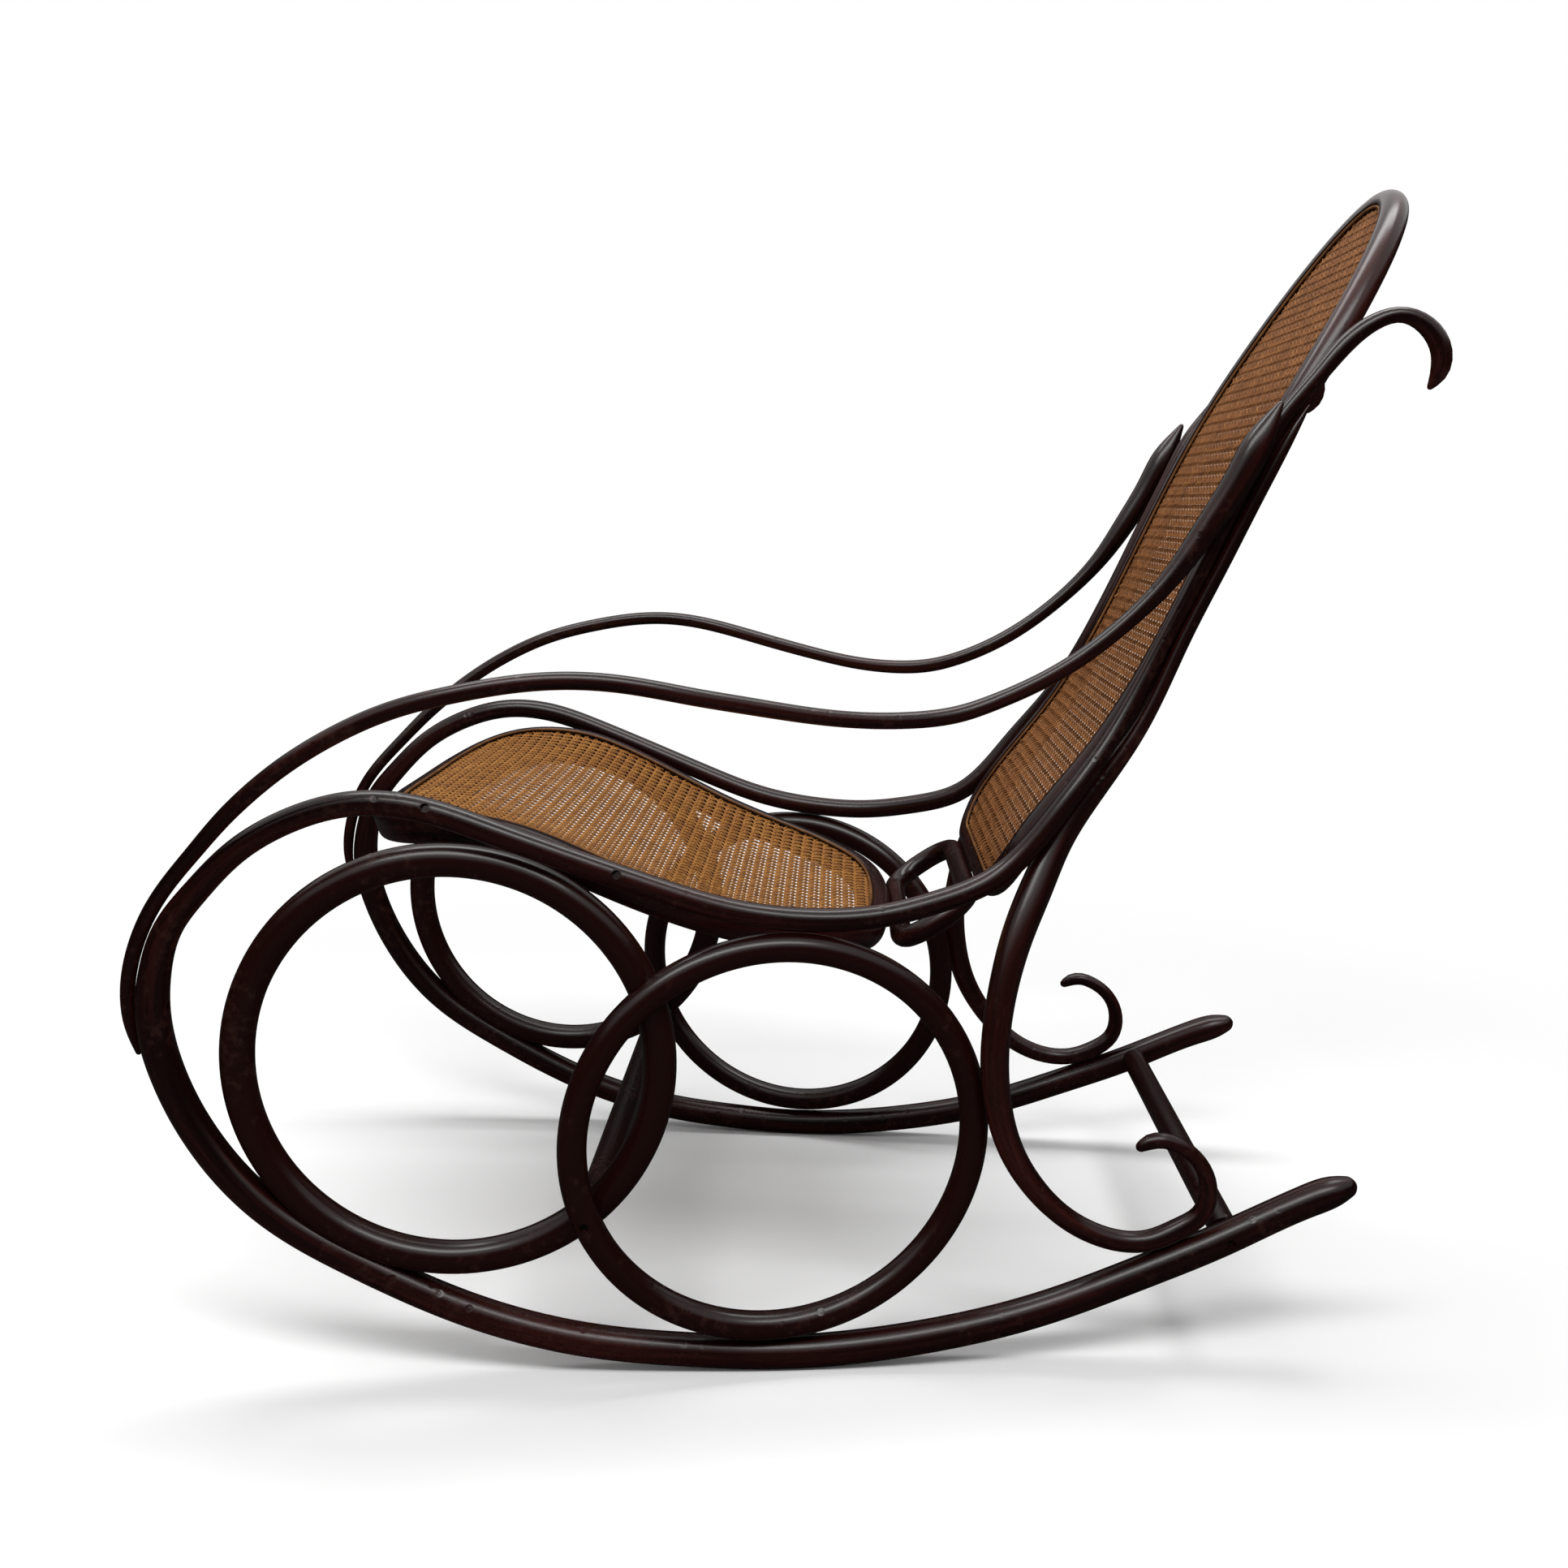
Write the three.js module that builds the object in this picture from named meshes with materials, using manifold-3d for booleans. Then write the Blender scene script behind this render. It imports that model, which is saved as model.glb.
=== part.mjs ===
// Bentwood rocking chair with a cane seat and back, in millimetres.
// +Z is up, the sitter faces -Y, and +X is the sitter's left. The rockers stand on Z = 0.
// Every bent rod is its own piece. Rods that meet lie beside each other with a small seat gap.

import * as THREE from "three";
import { mergeVertices } from "three/addons/utils/BufferGeometryUtils.js";
import Module from "manifold-3d";

const wasm = await Module();
wasm.setup();

// Driving dimensions of the whole chair
const chairLength = 1060;
const chairHeight = 980;
const chairWidth = 620;
const seatGap = 0.3;
const floorFlatDepth = 0.9;
const cutOverrun = 6;

// Rod diameters
const rockerRod = 28;
const armRod = 15;
const frontRingRod = 28;
const rearRingRod = 24.5;
const legRod = 24;
const hoopRod = 24;
const loopRod = 20;
const frontStretcherRod = 26;
const rearStretcherRod = 25;
const railBesideHoopRod = 13;
const legBesideHoopRod = 12;
const armHoldRod = 25;
const legFootRod = 18.5;

// Hoop of the back
const hoopHalfWidth = 138;
const hoopCornerRadius = 46;
const hoopArchHeight = 215;

// Seat frame, cane and the cane splines
const seatRingClearance = 1.4;
const seatFrameWidth = 30;
const seatFrameHeight = 27;
const caneThickness = 2.4;
const splineRod = 3.2;
const seatRebateWidth = 12;
const hoopRebateWidth = 14;

// Connecting loop between seat and back
const loopHalfWidth = 112;
const loopCornerRadius = 32;

// Rings in the side frames, set out from the rocker's own line
const frontRingSetOut = 0;
const rearRingSetOut = 1;
const ringNotchDepth = 8;
const frontRingReach = 167;

// Screws
const screwHead = 6.6;
const screwShank = 3.5;
const screwHeadHeight = 2.4;
const screwSink = 0.9;
const screwBite = 18;
const armScrewBite = 5;
const weldTolerance = 1e-4;

// Facets
const rodSides = 8;
const thinRodSides = 8;
const screwSides = 8;
const hoopSides = 8;
const stretcherSides = 10;

// A point from shares of the chair's half width, length and height
function place(across, along, up) {
  return new THREE.Vector3((across * chairWidth) / 2, along * chairLength, up * chairHeight);
}

// Natural cubic spline through rows of numbers, spaced by their distance in the first three
const halvings = 40;
const nudgeShare = 0.00025;
class RowSpline {
  constructor(rows) {
    this.rows = rows;
    this.knots = [0];
    for (let i = 1; i < rows.length; i++) {
      const step = Math.hypot(...[0, 1, 2].map((k) => rows[i][k] - rows[i - 1][k]));
      this.knots.push(this.knots[i - 1] + step);
    }
    this.length = this.knots[rows.length - 1];
    this.bends = rows[0].map((_, column) => this.solveBends(column));
  }

  solveBends(column) {
    const last = this.rows.length - 1;
    const bend = new Array(last + 1).fill(0);
    const carry = new Array(last + 1).fill(0);
    for (let i = 1; i < last; i++) {
      const before = this.knots[i] - this.knots[i - 1];
      const after = this.knots[i + 1] - this.knots[i];
      const slopeBefore = (this.rows[i][column] - this.rows[i - 1][column]) / before;
      const slopeAfter = (this.rows[i + 1][column] - this.rows[i][column]) / after;
      const share = before / (before + after);
      const pivot = share * carry[i - 1] + 2;
      carry[i] = (share - 1) / pivot;
      bend[i] = ((6 * (slopeAfter - slopeBefore)) / (before + after) - share * bend[i - 1]) / pivot;
    }
    for (let i = last - 1; i > 0; i--) bend[i] = carry[i] * bend[i + 1] + bend[i];
    return bend;
  }

  at(distance) {
    const s = Math.min(Math.max(distance, 0), this.length);
    let i = 1;
    while (i < this.knots.length - 1 && this.knots[i] < s) i++;
    const span = this.knots[i] - this.knots[i - 1];
    const b = (s - this.knots[i - 1]) / span;
    const a = 1 - b;
    return this.bends.map((bend, column) => {
      const curve = ((a ** 3 - a) * bend[i - 1] + (b ** 3 - b) * bend[i]) * (span ** 2 / 6);
      return a * this.rows[i - 1][column] + b * this.rows[i][column] + curve;
    });
  }

  pointAt(distance) {
    const row = this.at(distance);
    return new THREE.Vector3(row[0], row[1], row[2]);
  }

  tangentAt(distance) {
    const nudge = this.length * nudgeShare;
    return this.pointAt(distance + nudge).sub(this.pointAt(distance - nudge)).normalize();
  }

  // Distance along the spline where a row's column first passes a value, searched between two shares
  whereColumn(column, value, fromShare, toShare) {
    let low = fromShare * this.length;
    let high = toShare * this.length;
    const rising = this.at(high)[column] > this.at(low)[column];
    for (let i = 0; i < halvings; i++) {
      const middle = (low + high) / 2;
      if (this.at(middle)[column] < value === rising) low = middle;
      else high = middle;
    }
    return (low + high) / 2;
  }
}

function rodRow(point, diameter) {
  return [point.x, point.y, point.z, diameter / 2];
}

// Geometry helpers

// A closed skin over rings of points; open runs get flat end caps
function skin(rings, closed) {
  const sides = rings[0].length;
  const positions = rings.flat().flatMap((p) => [p.x, p.y, p.z]);
  const faces = [];
  const runs = closed ? rings.length : rings.length - 1;
  for (let i = 0; i < runs; i++) {
    const here = i * sides;
    const next = ((i + 1) % rings.length) * sides;
    for (let k = 0; k < sides; k++) {
      const l = (k + 1) % sides;
      faces.push(here + k, here + l, next + l, here + k, next + l, next + k);
    }
  }
  if (!closed) {
    const end = (rings.length - 1) * sides;
    for (let k = 1; k < sides - 1; k++) {
      faces.push(0, k + 1, k);
      faces.push(end, end + k, end + k + 1);
    }
  }
  const geometry = new THREE.BufferGeometry();
  geometry.setAttribute("position", new THREE.Float32BufferAttribute(positions, 3));
  geometry.setIndex(faces);
  return turnedOut(geometry);
}

function signedVolume(geometry) {
  const p = geometry.getAttribute("position");
  const index = geometry.index.array;
  const corner = (i) => new THREE.Vector3().fromBufferAttribute(p, index[i]);
  let volume = 0;
  for (let i = 0; i < index.length; i += 3) {
    volume += corner(i).dot(corner(i + 1).cross(corner(i + 2))) / 6;
  }
  return volume;
}

function flipFaces(geometry) {
  const index = geometry.index.array;
  for (let i = 0; i < index.length; i += 3) [index[i + 1], index[i + 2]] = [index[i + 2], index[i + 1]];
  return geometry;
}

function turnedOut(geometry) {
  return signedVolume(geometry) < 0 ? flipFaces(geometry) : geometry;
}

function mirrored(geometry) {
  return flipFaces(geometry.clone().scale(-1, 1, 1));
}

function toSolid(geometry) {
  const bare = geometry.clone();
  bare.deleteAttribute("normal");
  bare.deleteAttribute("uv");
  const merged = mergeVertices(bare, weldTolerance);
  return new wasm.Manifold(
    new wasm.Mesh({
      numProp: 3,
      vertProperties: merged.attributes.position.array,
      triVerts: new Uint32Array(merged.index.array),
    }),
  );
}

function fromSolid(made) {
  const mesh = made.getMesh();
  const geometry = new THREE.BufferGeometry();
  geometry.setAttribute("position", new THREE.BufferAttribute(mesh.vertProperties, 3));
  geometry.setIndex(new THREE.BufferAttribute(mesh.triVerts, 1));
  return geometry;
}

function cut(geometry, ...cutters) {
  let made = toSolid(geometry);
  for (const cutter of cutters) made = made.subtract(toSolid(cutter));
  return fromSolid(made);
}

// A circle of section points in the plane of two unit vectors
function circleOfPoints(centre, first, second, radius, sides, turnOfPoint = 0) {
  const points = [];
  for (let k = 0; k < sides; k++) {
    const angle = (2 * Math.PI * (k + turnOfPoint)) / sides;
    const offset = first.clone().multiplyScalar(radius * Math.cos(angle));
    points.push(centre.clone().add(offset).addScaledVector(second, radius * Math.sin(angle)));
  }
  return points;
}

const across = new THREE.Vector3(1, 0, 0);

// Unit vectors square to a rod that runs mostly in the side plane
function sideFrame(tangent) {
  const inPlane = new THREE.Vector3().crossVectors(across, tangent).normalize();
  const outward = new THREE.Vector3().crossVectors(tangent, inPlane).normalize();
  return { inPlane, outward };
}

// Distances along a spline, closer together where it bends more
const bendWeight = 0.35;
const fineSteps = 12;
function stations(spline, steps) {
  const fine = steps * fineSteps;
  const weights = [0];
  for (let i = 1; i <= fine; i++) {
    const before = spline.tangentAt(((i - 1) / fine) * spline.length);
    const turn = spline.tangentAt((i / fine) * spline.length).angleTo(before);
    weights.push(weights[i - 1] + 1 / fine + (bendWeight * turn) / Math.PI);
  }
  const places = [];
  for (let k = 0; k <= steps; k++) {
    const goal = (k / steps) * weights[fine];
    let i = 1;
    while (i < fine && weights[i] < goal) i++;
    const share = (goal - weights[i - 1]) / (weights[i] - weights[i - 1]);
    places.push(((i - 1 + share) / fine) * spline.length);
  }
  return places;
}

// A bent rod along a row spline whose fourth column is its radius, with a flat side towards its outward face
const flatSideTurn = 0.5;
function bentRod(spline, steps, sides, extra = 0) {
  const rings = [];
  for (const s of stations(spline, steps)) {
    const { inPlane, outward } = sideFrame(spline.tangentAt(s));
    rings.push(circleOfPoints(spline.pointAt(s), outward, inPlane, spline.at(s)[3] + extra, sides, flatSideTurn));
  }
  return skin(rings, false);
}

// Back profile: the run of the hoop's centre in the side view, from its foot to its top
const backProfileShares = [
  [0.182, 0.392],
  [0.1935, 0.4165],
  [0.219, 0.459],
  [0.257, 0.512],
  [0.324, 0.641],
  [0.3835, 0.778],
  [0.432, 0.869],
  [0.4975, 0.986],
];

// Seat profile: the top face of the seat frame in the side view, from front to rear
const seatProfileShares = [
  [-0.321, 0.4665],
  [-0.29, 0.477],
  [-0.245, 0.4815],
  [-0.19, 0.4725],
  [-0.14, 0.4505],
  [-0.094, 0.4265],
  [-0.047, 0.404],
  [0, 0.3865],
  [0.05, 0.371],
  [0.104, 0.3545],
];

// A curved sheet that is straight across: a place on it has a side offset, a run and a height above it
class ProfileSheet {
  constructor(shares) {
    this.line = new RowSpline(shares.map(([along, up]) => place(0, along, up).toArray()));
    this.length = this.line.length;
  }

  normalAt(run) {
    const tangent = this.line.tangentAt(run);
    return new THREE.Vector3(0, -tangent.z, tangent.y).normalize();
  }

  // Beyond either end the sheet runs on straight
  pointAt(side, run, lift) {
    const held = Math.min(Math.max(run, 0), this.length);
    const point = this.line.pointAt(held).addScaledVector(this.line.tangentAt(held), run - held);
    point.x = side;
    return point.addScaledVector(this.normalAt(held), lift);
  }
}

const backSheet = new ProfileSheet(backProfileShares);
const seatSheet = new ProfileSheet(seatProfileShares);

// Closed outline on a sheet: [side, run] pairs evenly spaced, drawn in by an inset
function insetOutline(outline, inset) {
  const count = outline.length;
  return outline.map(([side, run], i) => {
    const [sideBefore, runBefore] = outline[(i + count - 1) % count];
    const [sideAfter, runAfter] = outline[(i + 1) % count];
    const dSide = sideAfter - sideBefore;
    const dRun = runAfter - runBefore;
    const length = Math.hypot(dSide, dRun);
    return [side - (inset * dRun) / length, run + (inset * dSide) / length];
  });
}

// Evenly spaced points round a closed path that starts on the middle line, none of them on that line
function spacedOutline(path, stations) {
  const points = [];
  for (let i = 0; i < stations; i++) {
    const point = path.getPointAt((i + 0.5) / stations);
    points.push([point.x, point.y]);
  }
  return points;
}

// A frame swept round an outline on a sheet; each section point is [inward, lift]
function sheetFrame(sheet, outline, section) {
  const rings = outline.map(() => []);
  for (const [inward, lift] of section) {
    insetOutline(outline, inward).forEach(([side, run], i) => rings[i].push(sheet.pointAt(side, run, lift)));
  }
  return skin(rings, true);
}

// A thin plate that fills an outline symmetric in its side offset
function sheetPlate(sheet, outline, bottomLift, thickness) {
  const rows = [];
  for (const [side, run] of outline.slice(0, outline.length / 2)) {
    const before = rows[rows.length - 1];
    if (before && run - before[1] < seatGap / 3) before[0] = Math.max(before[0], side);
    else rows.push([side, run]);
  }
  const rings = rows.map(([side, run]) => [
    sheet.pointAt(-side, run, bottomLift),
    sheet.pointAt(side, run, bottomLift),
    sheet.pointAt(side, run, bottomLift + thickness),
    sheet.pointAt(-side, run, bottomLift + thickness),
  ]);
  return skin(rings, false);
}

// Outline of the hoop's centre line: flat foot, round corners, straight sides and a tall arch
const hoopStations = 48;
function hoopOutline() {
  const top = backSheet.length;
  const shoulder = top - hoopArchHeight;
  const rim = new THREE.Path();
  rim.moveTo(0, 0);
  rim.lineTo(hoopHalfWidth - hoopCornerRadius, 0);
  rim.absarc(hoopHalfWidth - hoopCornerRadius, hoopCornerRadius, hoopCornerRadius, -Math.PI / 2, 0, false);
  rim.lineTo(hoopHalfWidth, shoulder);
  rim.absellipse(0, shoulder, hoopHalfWidth, hoopArchHeight, 0, Math.PI, false);
  rim.lineTo(-hoopHalfWidth, hoopCornerRadius);
  rim.absarc(hoopCornerRadius - hoopHalfWidth, hoopCornerRadius, hoopCornerRadius, Math.PI, 1.5 * Math.PI, false);
  rim.closePath();
  return spacedOutline(rim, hoopStations);
}

// Outline of the seat frame's outer edge, front to rear, as shares of half width and depth
const seatOutlineShares = [
  [0, 0],
  [0.45, 0.003],
  [0.75, 0.03],
  [0.93, 0.1],
  [1, 0.22],
  [0.985, 0.36],
  [0.955, 0.5],
  [0.9, 0.63],
  [0.825, 0.76],
  [0.7, 0.88],
  [0.48, 0.97],
  [0, 1],
];
const seatStations = 44;
function seatOutline(seatHalfWidth) {
  const half = seatOutlineShares.map(
    ([side, run]) => new THREE.Vector3(side * seatHalfWidth, run * seatSheet.length, 0),
  );
  const other = half.slice(1, -1).reverse().map((p) => new THREE.Vector3(-p.x, p.y, 0));
  const rim = new THREE.CatmullRomCurve3([...half, ...other], true, "centripetal");
  return spacedOutline(rim, seatStations);
}

// Places beside the hoop, as [side, lift] from the hoop's centre line
// The shares after the angles say where each rod lies there, across the chair
const railAngleShare = 0.12;
const legAngleShare = -0.105;
const armAngleShare = 0.18;
const railBesideShare = 0.5035;
const legBesideShare = 0.501;
const armBesideShare = 0.556;
function stepOut(distance, turnShare) {
  const angle = turnShare * Math.PI;
  return [distance * Math.cos(angle), distance * Math.sin(angle)];
}
const railBeside = stepOut((hoopRod + railBesideHoopRod) / 2 + 3 * seatGap, railAngleShare);
const legBeside = stepOut((hoopRod + legBesideHoopRod) / 2 + seatGap, legAngleShare);
const armFromRail = stepOut((railBesideHoopRod + armHoldRod) / 2 + seatGap, armAngleShare);
const armBeside = [railBeside[0] + armFromRail[0], railBeside[1] + armFromRail[1]];

function besideHoop(runShare, [side, lift]) {
  return backSheet.pointAt(hoopHalfWidth + side, runShare * backSheet.length, lift);
}

// A point of a side frame, whose share across runs from its place beside the hoop to the chair's full half width
function sidePlace([side], besideShare, across, along, up) {
  const inner = hoopHalfWidth + side;
  const point = place(0, along, up);
  point.x = inner + ((across - besideShare) / (1 - besideShare)) * (chairWidth / 2 - inner);
  return point;
}

// Side rail: rocker, front loop, rail beside the seat, run up beside the hoop, and the top curl
const rockerRouteShares = [
  [0.645, 0.465, 0.1575, 0.45],
  [0.649, 0.4505, 0.1525, 0.86],
  [0.656, 0.427, 0.143, 0.98],
  [0.673, 0.363, 0.1105, 1],
  [0.692, 0.296, 0.08, 1],
  [0.713, 0.217, 0.048, 1],
  [0.737, 0.132, 0.0265, 1],
  [0.758, 0.054, 0.016, 1],
  [0.772, 0, 0.0143, 1],
  [0.784, -0.05, 0.0175, 1],
  [0.806, -0.134, 0.0285, 1],
  [0.831, -0.226, 0.0585, 1],
  [0.852, -0.313, 0.106, 1],
  [0.865, -0.3775, 0.153, 1],
  [0.874, -0.4215, 0.212, 1],
  [0.877, -0.4445, 0.267, 1],
  [0.877, -0.4535, 0.3255, 0.98],
  [0.877, -0.4495, 0.357, 0.9],
  [0.877, -0.438, 0.392, 0.81],
  [0.877, -0.415, 0.4235, 0.75],
  [0.877, -0.384, 0.456, 0.72],
  [0.875, -0.3415, 0.4825, 0.72],
  [0.872, -0.2935, 0.496, 0.73],
  [0.87, -0.247, 0.492, 0.74],
  [0.865, -0.198, 0.4745, 0.72],
  [0.843, -0.14, 0.45, 0.71],
  [0.81, -0.081, 0.425, 0.71],
  [0.776, -0.024, 0.404, 0.71],
  [0.739, 0.036, 0.3935, 0.71],
  [0.698, 0.087, 0.3935, 0.71],
  [0.65, 0.132, 0.402, 0.71],
  [0.6, 0.179, 0.4205, 0.7],
];
const railRiseShares = [
  [0.579, 0.2265, 0.4765, 1.38],
  [0.537, 0.265, 0.5335, 1.16],
];
const railBesideRunShares = [0.364, 0.445, 0.5255, 0.596, 0.667];
const curlRouteShares = [
  [0.4095, 0.8285, 0.5],
  [0.4245, 0.8485, 0.54],
  [0.4435, 0.866, 0.5],
  [0.466, 0.8735, 0.45],
  [0.484, 0.8655, 0.53],
  [0.497, 0.843, 0.58],
  [0.4955, 0.8275, 0.47],
  [0.489, 0.816, 0.12],
];
function railSpline() {
  const railPlace = (side, along, up) => sidePlace(railBeside, railBesideShare, side, along, up);
  const rows = rockerRouteShares.map(([side, along, up, thick]) =>
    rodRow(railPlace(side, along, up), thick * rockerRod),
  );
  for (const [side, along, up, thick] of railRiseShares) {
    rows.push(rodRow(railPlace(side, along, up), thick * railBesideHoopRod));
  }
  for (const share of railBesideRunShares) rows.push(rodRow(besideHoop(share, railBeside), railBesideHoopRod));
  for (const [along, up, thick] of curlRouteShares) {
    const point = place(0, along, up);
    point.x = hoopHalfWidth + railBeside[0];
    rows.push(rodRow(point, thick * rockerRod));
  }
  return new RowSpline(rows);
}
const rail = railSpline();
const rockerLowShare = 0.2;
const rockerEndShare = 0.42;
const railFrontShare = 0.5;
const railRearShare = 0.72;

// A point beside the rail in the side plane; outside the loop is the front and the underside
function besideRail(distance, clearance) {
  const { inPlane } = sideFrame(rail.tangentAt(distance));
  return rail.pointAt(distance).addScaledVector(inPlane, clearance);
}

// Arm: lapped on the front of the loop, over the hump, and held beside the hoop at its thick upper end
const armLapUpShares = [0.291, 0.312, 0.338, 0.368, 0.398];
const armLapThickShares = [0.3, 0.62, 0.82, 0.86, 0.88];
const armRouteShares = [
  [0.906, -0.4105, 0.4575, 0.92],
  [0.93, -0.386, 0.4845, 0.97],
  [0.955, -0.3595, 0.5095, 1],
  [0.973, -0.334, 0.53, 1],
  [0.987, -0.297, 0.554, 1],
  [0.995, -0.251, 0.5755, 1],
  [1, -0.2055, 0.588, 1],
  [0.995, -0.1735, 0.594, 1],
  [0.98, -0.133, 0.597, 1],
  [0.953, -0.0945, 0.5935, 1],
  [0.905, -0.047, 0.5825, 1],
  [0.845, -0.0115, 0.5735, 1],
  [0.77, 0.035, 0.5625, 0.97],
  [0.703, 0.0715, 0.556, 0.97],
  [0.645, 0.1085, 0.5535, 1],
  [0.6, 0.147, 0.557, 1.02],
  [0.574, 0.1735, 0.5655, 1],
  [0.563, 0.223, 0.591, 1],
  [0.558, 0.271, 0.63, 1],
  [0.554, 0.3085, 0.6735, 1.25],
  [0.552, 0.3275, 0.7045, 1.5],
];
const armHoldRunShares = [0.586, 0.628, 0.66];
const armHoldThickShares = [1.02, 0.99, 0.52];
const armTipRunShare = 0.68;
const armTipThickShare = 0.16;
function armSpline() {
  const rows = armLapUpShares.map((up, i) => {
    const s = rail.whereColumn(2, up * chairHeight, rockerLowShare, railFrontShare);
    const radius = (armLapThickShares[i] * armRod) / 2;
    return rodRow(besideRail(s, rail.at(s)[3] + radius + 2 * seatGap), 2 * radius);
  });
  for (const [side, along, up, thick] of armRouteShares) {
    rows.push(rodRow(sidePlace(armBeside, armBesideShare, side, along, up), thick * armRod));
  }
  armHoldRunShares.forEach((share, i) => {
    rows.push(rodRow(besideHoop(share, armBeside), armHoldThickShares[i] * armHoldRod));
  });
  rows.push(rodRow(besideHoop(armTipRunShare, armBeside), armTipThickShare * armHoldRod));
  return new RowSpline(rows);
}

// Back leg: a taper beside the hoop, the standing leg, its seat on the rocker, and the scroll
const legBesideRunShares = [0.697, 0.657, 0.576, 0.485, 0.394];
const legBesideThickShares = [0.2, 0.7, 1, 1, 1];
const legRouteShares = [
  [0.512, 0.288, 0.5415, 0.56],
  [0.521, 0.2525, 0.4865, 0.84],
  [0.54, 0.2275, 0.447, 1.03],
  [0.585, 0.2095, 0.409, 1.17],
  [0.635, 0.1947, 0.3735, 1.13],
  [0.672, 0.1845, 0.337, 1.04],
  [0.698, 0.179, 0.305, 1],
  [0.715, 0.177, 0.2695, 1],
  [0.716, 0.18, 0.236, 0.98],
  [0.714, 0.192, 0.192, 0.9],
  [0.708, 0.207, 0.164, 0.84],
  [0.7, 0.223, 0.143, 0.8],
  [0.693, 0.245, 0.1235, 0.78],
];
const legSeatAlongShares = [0.312, 0.335];
const scrollRouteShares = [
  [0.683, 0.3425, 0.134, 0.7],
  [0.683, 0.347, 0.1555, 0.65],
  [0.684, 0.3415, 0.176, 0.57],
  [0.686, 0.333, 0.1875, 0.55],
  [0.688, 0.3205, 0.1965, 0.56],
  [0.69, 0.308, 0.2005, 0.57],
  [0.691, 0.2965, 0.1975, 0.5],
  [0.692, 0.2895, 0.192, 0.26],
];
function legSpline() {
  const legPlace = (side, along, up) => sidePlace(legBeside, legBesideShare, side, along, up);
  const rows = legBesideRunShares.map((share, i) =>
    rodRow(besideHoop(share, legBeside), legBesideThickShares[i] * legBesideHoopRod),
  );
  for (const [side, along, up, thick] of legRouteShares) {
    rows.push(rodRow(legPlace(side, along, up), thick * legRod));
  }
  for (const along of legSeatAlongShares) {
    const s = rail.whereColumn(1, along * chairLength, 0, rockerLowShare);
    const reach = rail.at(s)[3] + legFootRod / 2 + 2 * seatGap;
    rows.push(rodRow(besideRail(s, -reach), legFootRod));
  }
  for (const [side, along, up, thick] of scrollRouteShares) {
    rows.push(rodRow(legPlace(side, along, up), thick * legRod));
  }
  return new RowSpline(rows);
}

// Rings: each leans a little and stands on the rocker; the rear one also touches the rail above it
const ringStations = 36;
const railProbes = 120;
const seatingRounds = 30;
const ringStartUpShare = 0.25;
const ringNudge = 0.01;
const frontRingAlongShare = -0.2355;
const rearRingAlongShare = 0.0108;
function ringOn(alongShare, setOut, rod, notch) {
  const along = alongShare * chairLength;
  const s = rail.whereColumn(1, along, 0, rockerEndShare);
  return { along, side: rail.at(s)[0] + setOut, radius: rod / 2, notch };
}
const frontRingTurnShare = -0.07;
const rearRingTurnShare = -0.215;
const rearRingLeanShare = -0.012;
const frontRing = ringOn(frontRingAlongShare, frontRingSetOut, frontRingRod, ringNotchDepth);
frontRing.turnShare = frontRingTurnShare;
frontRing.leanShare = 0;
const rearRing = ringOn(rearRingAlongShare, rearRingSetOut, rearRingRod, 0);
rearRing.turnShare = rearRingTurnShare;
rearRing.leanShare = rearRingLeanShare;
function ringPoint(ring, angle, reach = ring.reach) {
  const along = reach * Math.cos(angle);
  const up = reach * Math.sin(angle);
  const side = ring.side + ring.turnShare * along + ring.leanShare * up;
  return new THREE.Vector3(side, ring.along + along, ring.up + up);
}

// Least distance from the ring's centre line to a stretch of the rail
function ringToRail(ring, fromShare, toShare) {
  let least = Infinity;
  for (let i = 0; i <= railProbes; i++) {
    const s = (fromShare + ((toShare - fromShare) * i) / railProbes) * rail.length;
    const point = rail.pointAt(s);
    const angle = Math.atan2(point.z - ring.up, point.y - ring.along);
    const clear = point.distanceTo(ringPoint(ring, angle)) - rail.at(s)[3] - ring.radius - seatGap;
    least = Math.min(least, clear);
  }
  return least;
}

function seatRing(ring) {
  ring.up = ringStartUpShare * chairHeight;
  ring.reach = frontRingReach;
  for (let i = 0; i < seatingRounds; i++) {
    const below = ringToRail(ring, 0, rockerEndShare) + ring.notch;
    const above = ringToRail(ring, railFrontShare, railRearShare);
    ring.reach += ring.touchesRail ? (below + above) / 2 : 0;
    ring.up += ring.touchesRail ? (above - below) / 2 : -below;
  }
}
rearRing.touchesRail = true;
seatRing(frontRing);
seatRing(rearRing);

function ringRod(ring, sides, extra = 0) {
  const rings = [];
  const centre = new THREE.Vector3(ring.side, ring.along, ring.up);
  for (let i = 0; i < ringStations; i++) {
    const angle = (2 * Math.PI * i) / ringStations;
    const point = ringPoint(ring, angle);
    const outwards = point.clone().sub(centre).normalize();
    const tangent = ringPoint(ring, angle + ringNudge).sub(ringPoint(ring, angle - ringNudge)).normalize();
    const square = new THREE.Vector3().crossVectors(tangent, outwards).normalize();
    rings.push(circleOfPoints(point, outwards, square, ring.radius + extra, sides));
  }
  return skin(rings, true);
}

// The two places where the rings cross in the side view, as [lower, upper]
function ringCrossings() {
  const dAlong = rearRing.along - frontRing.along;
  const dUp = rearRing.up - frontRing.up;
  const apart = Math.hypot(dAlong, dUp);
  const base = Math.atan2(dUp, dAlong);
  const cosine = (apart ** 2 + frontRing.reach ** 2 - rearRing.reach ** 2) / (2 * apart * frontRing.reach);
  const spread = Math.acos(cosine);
  return [base - spread, base + spread].map((angle) => ringPoint(frontRing, angle));
}

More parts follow.
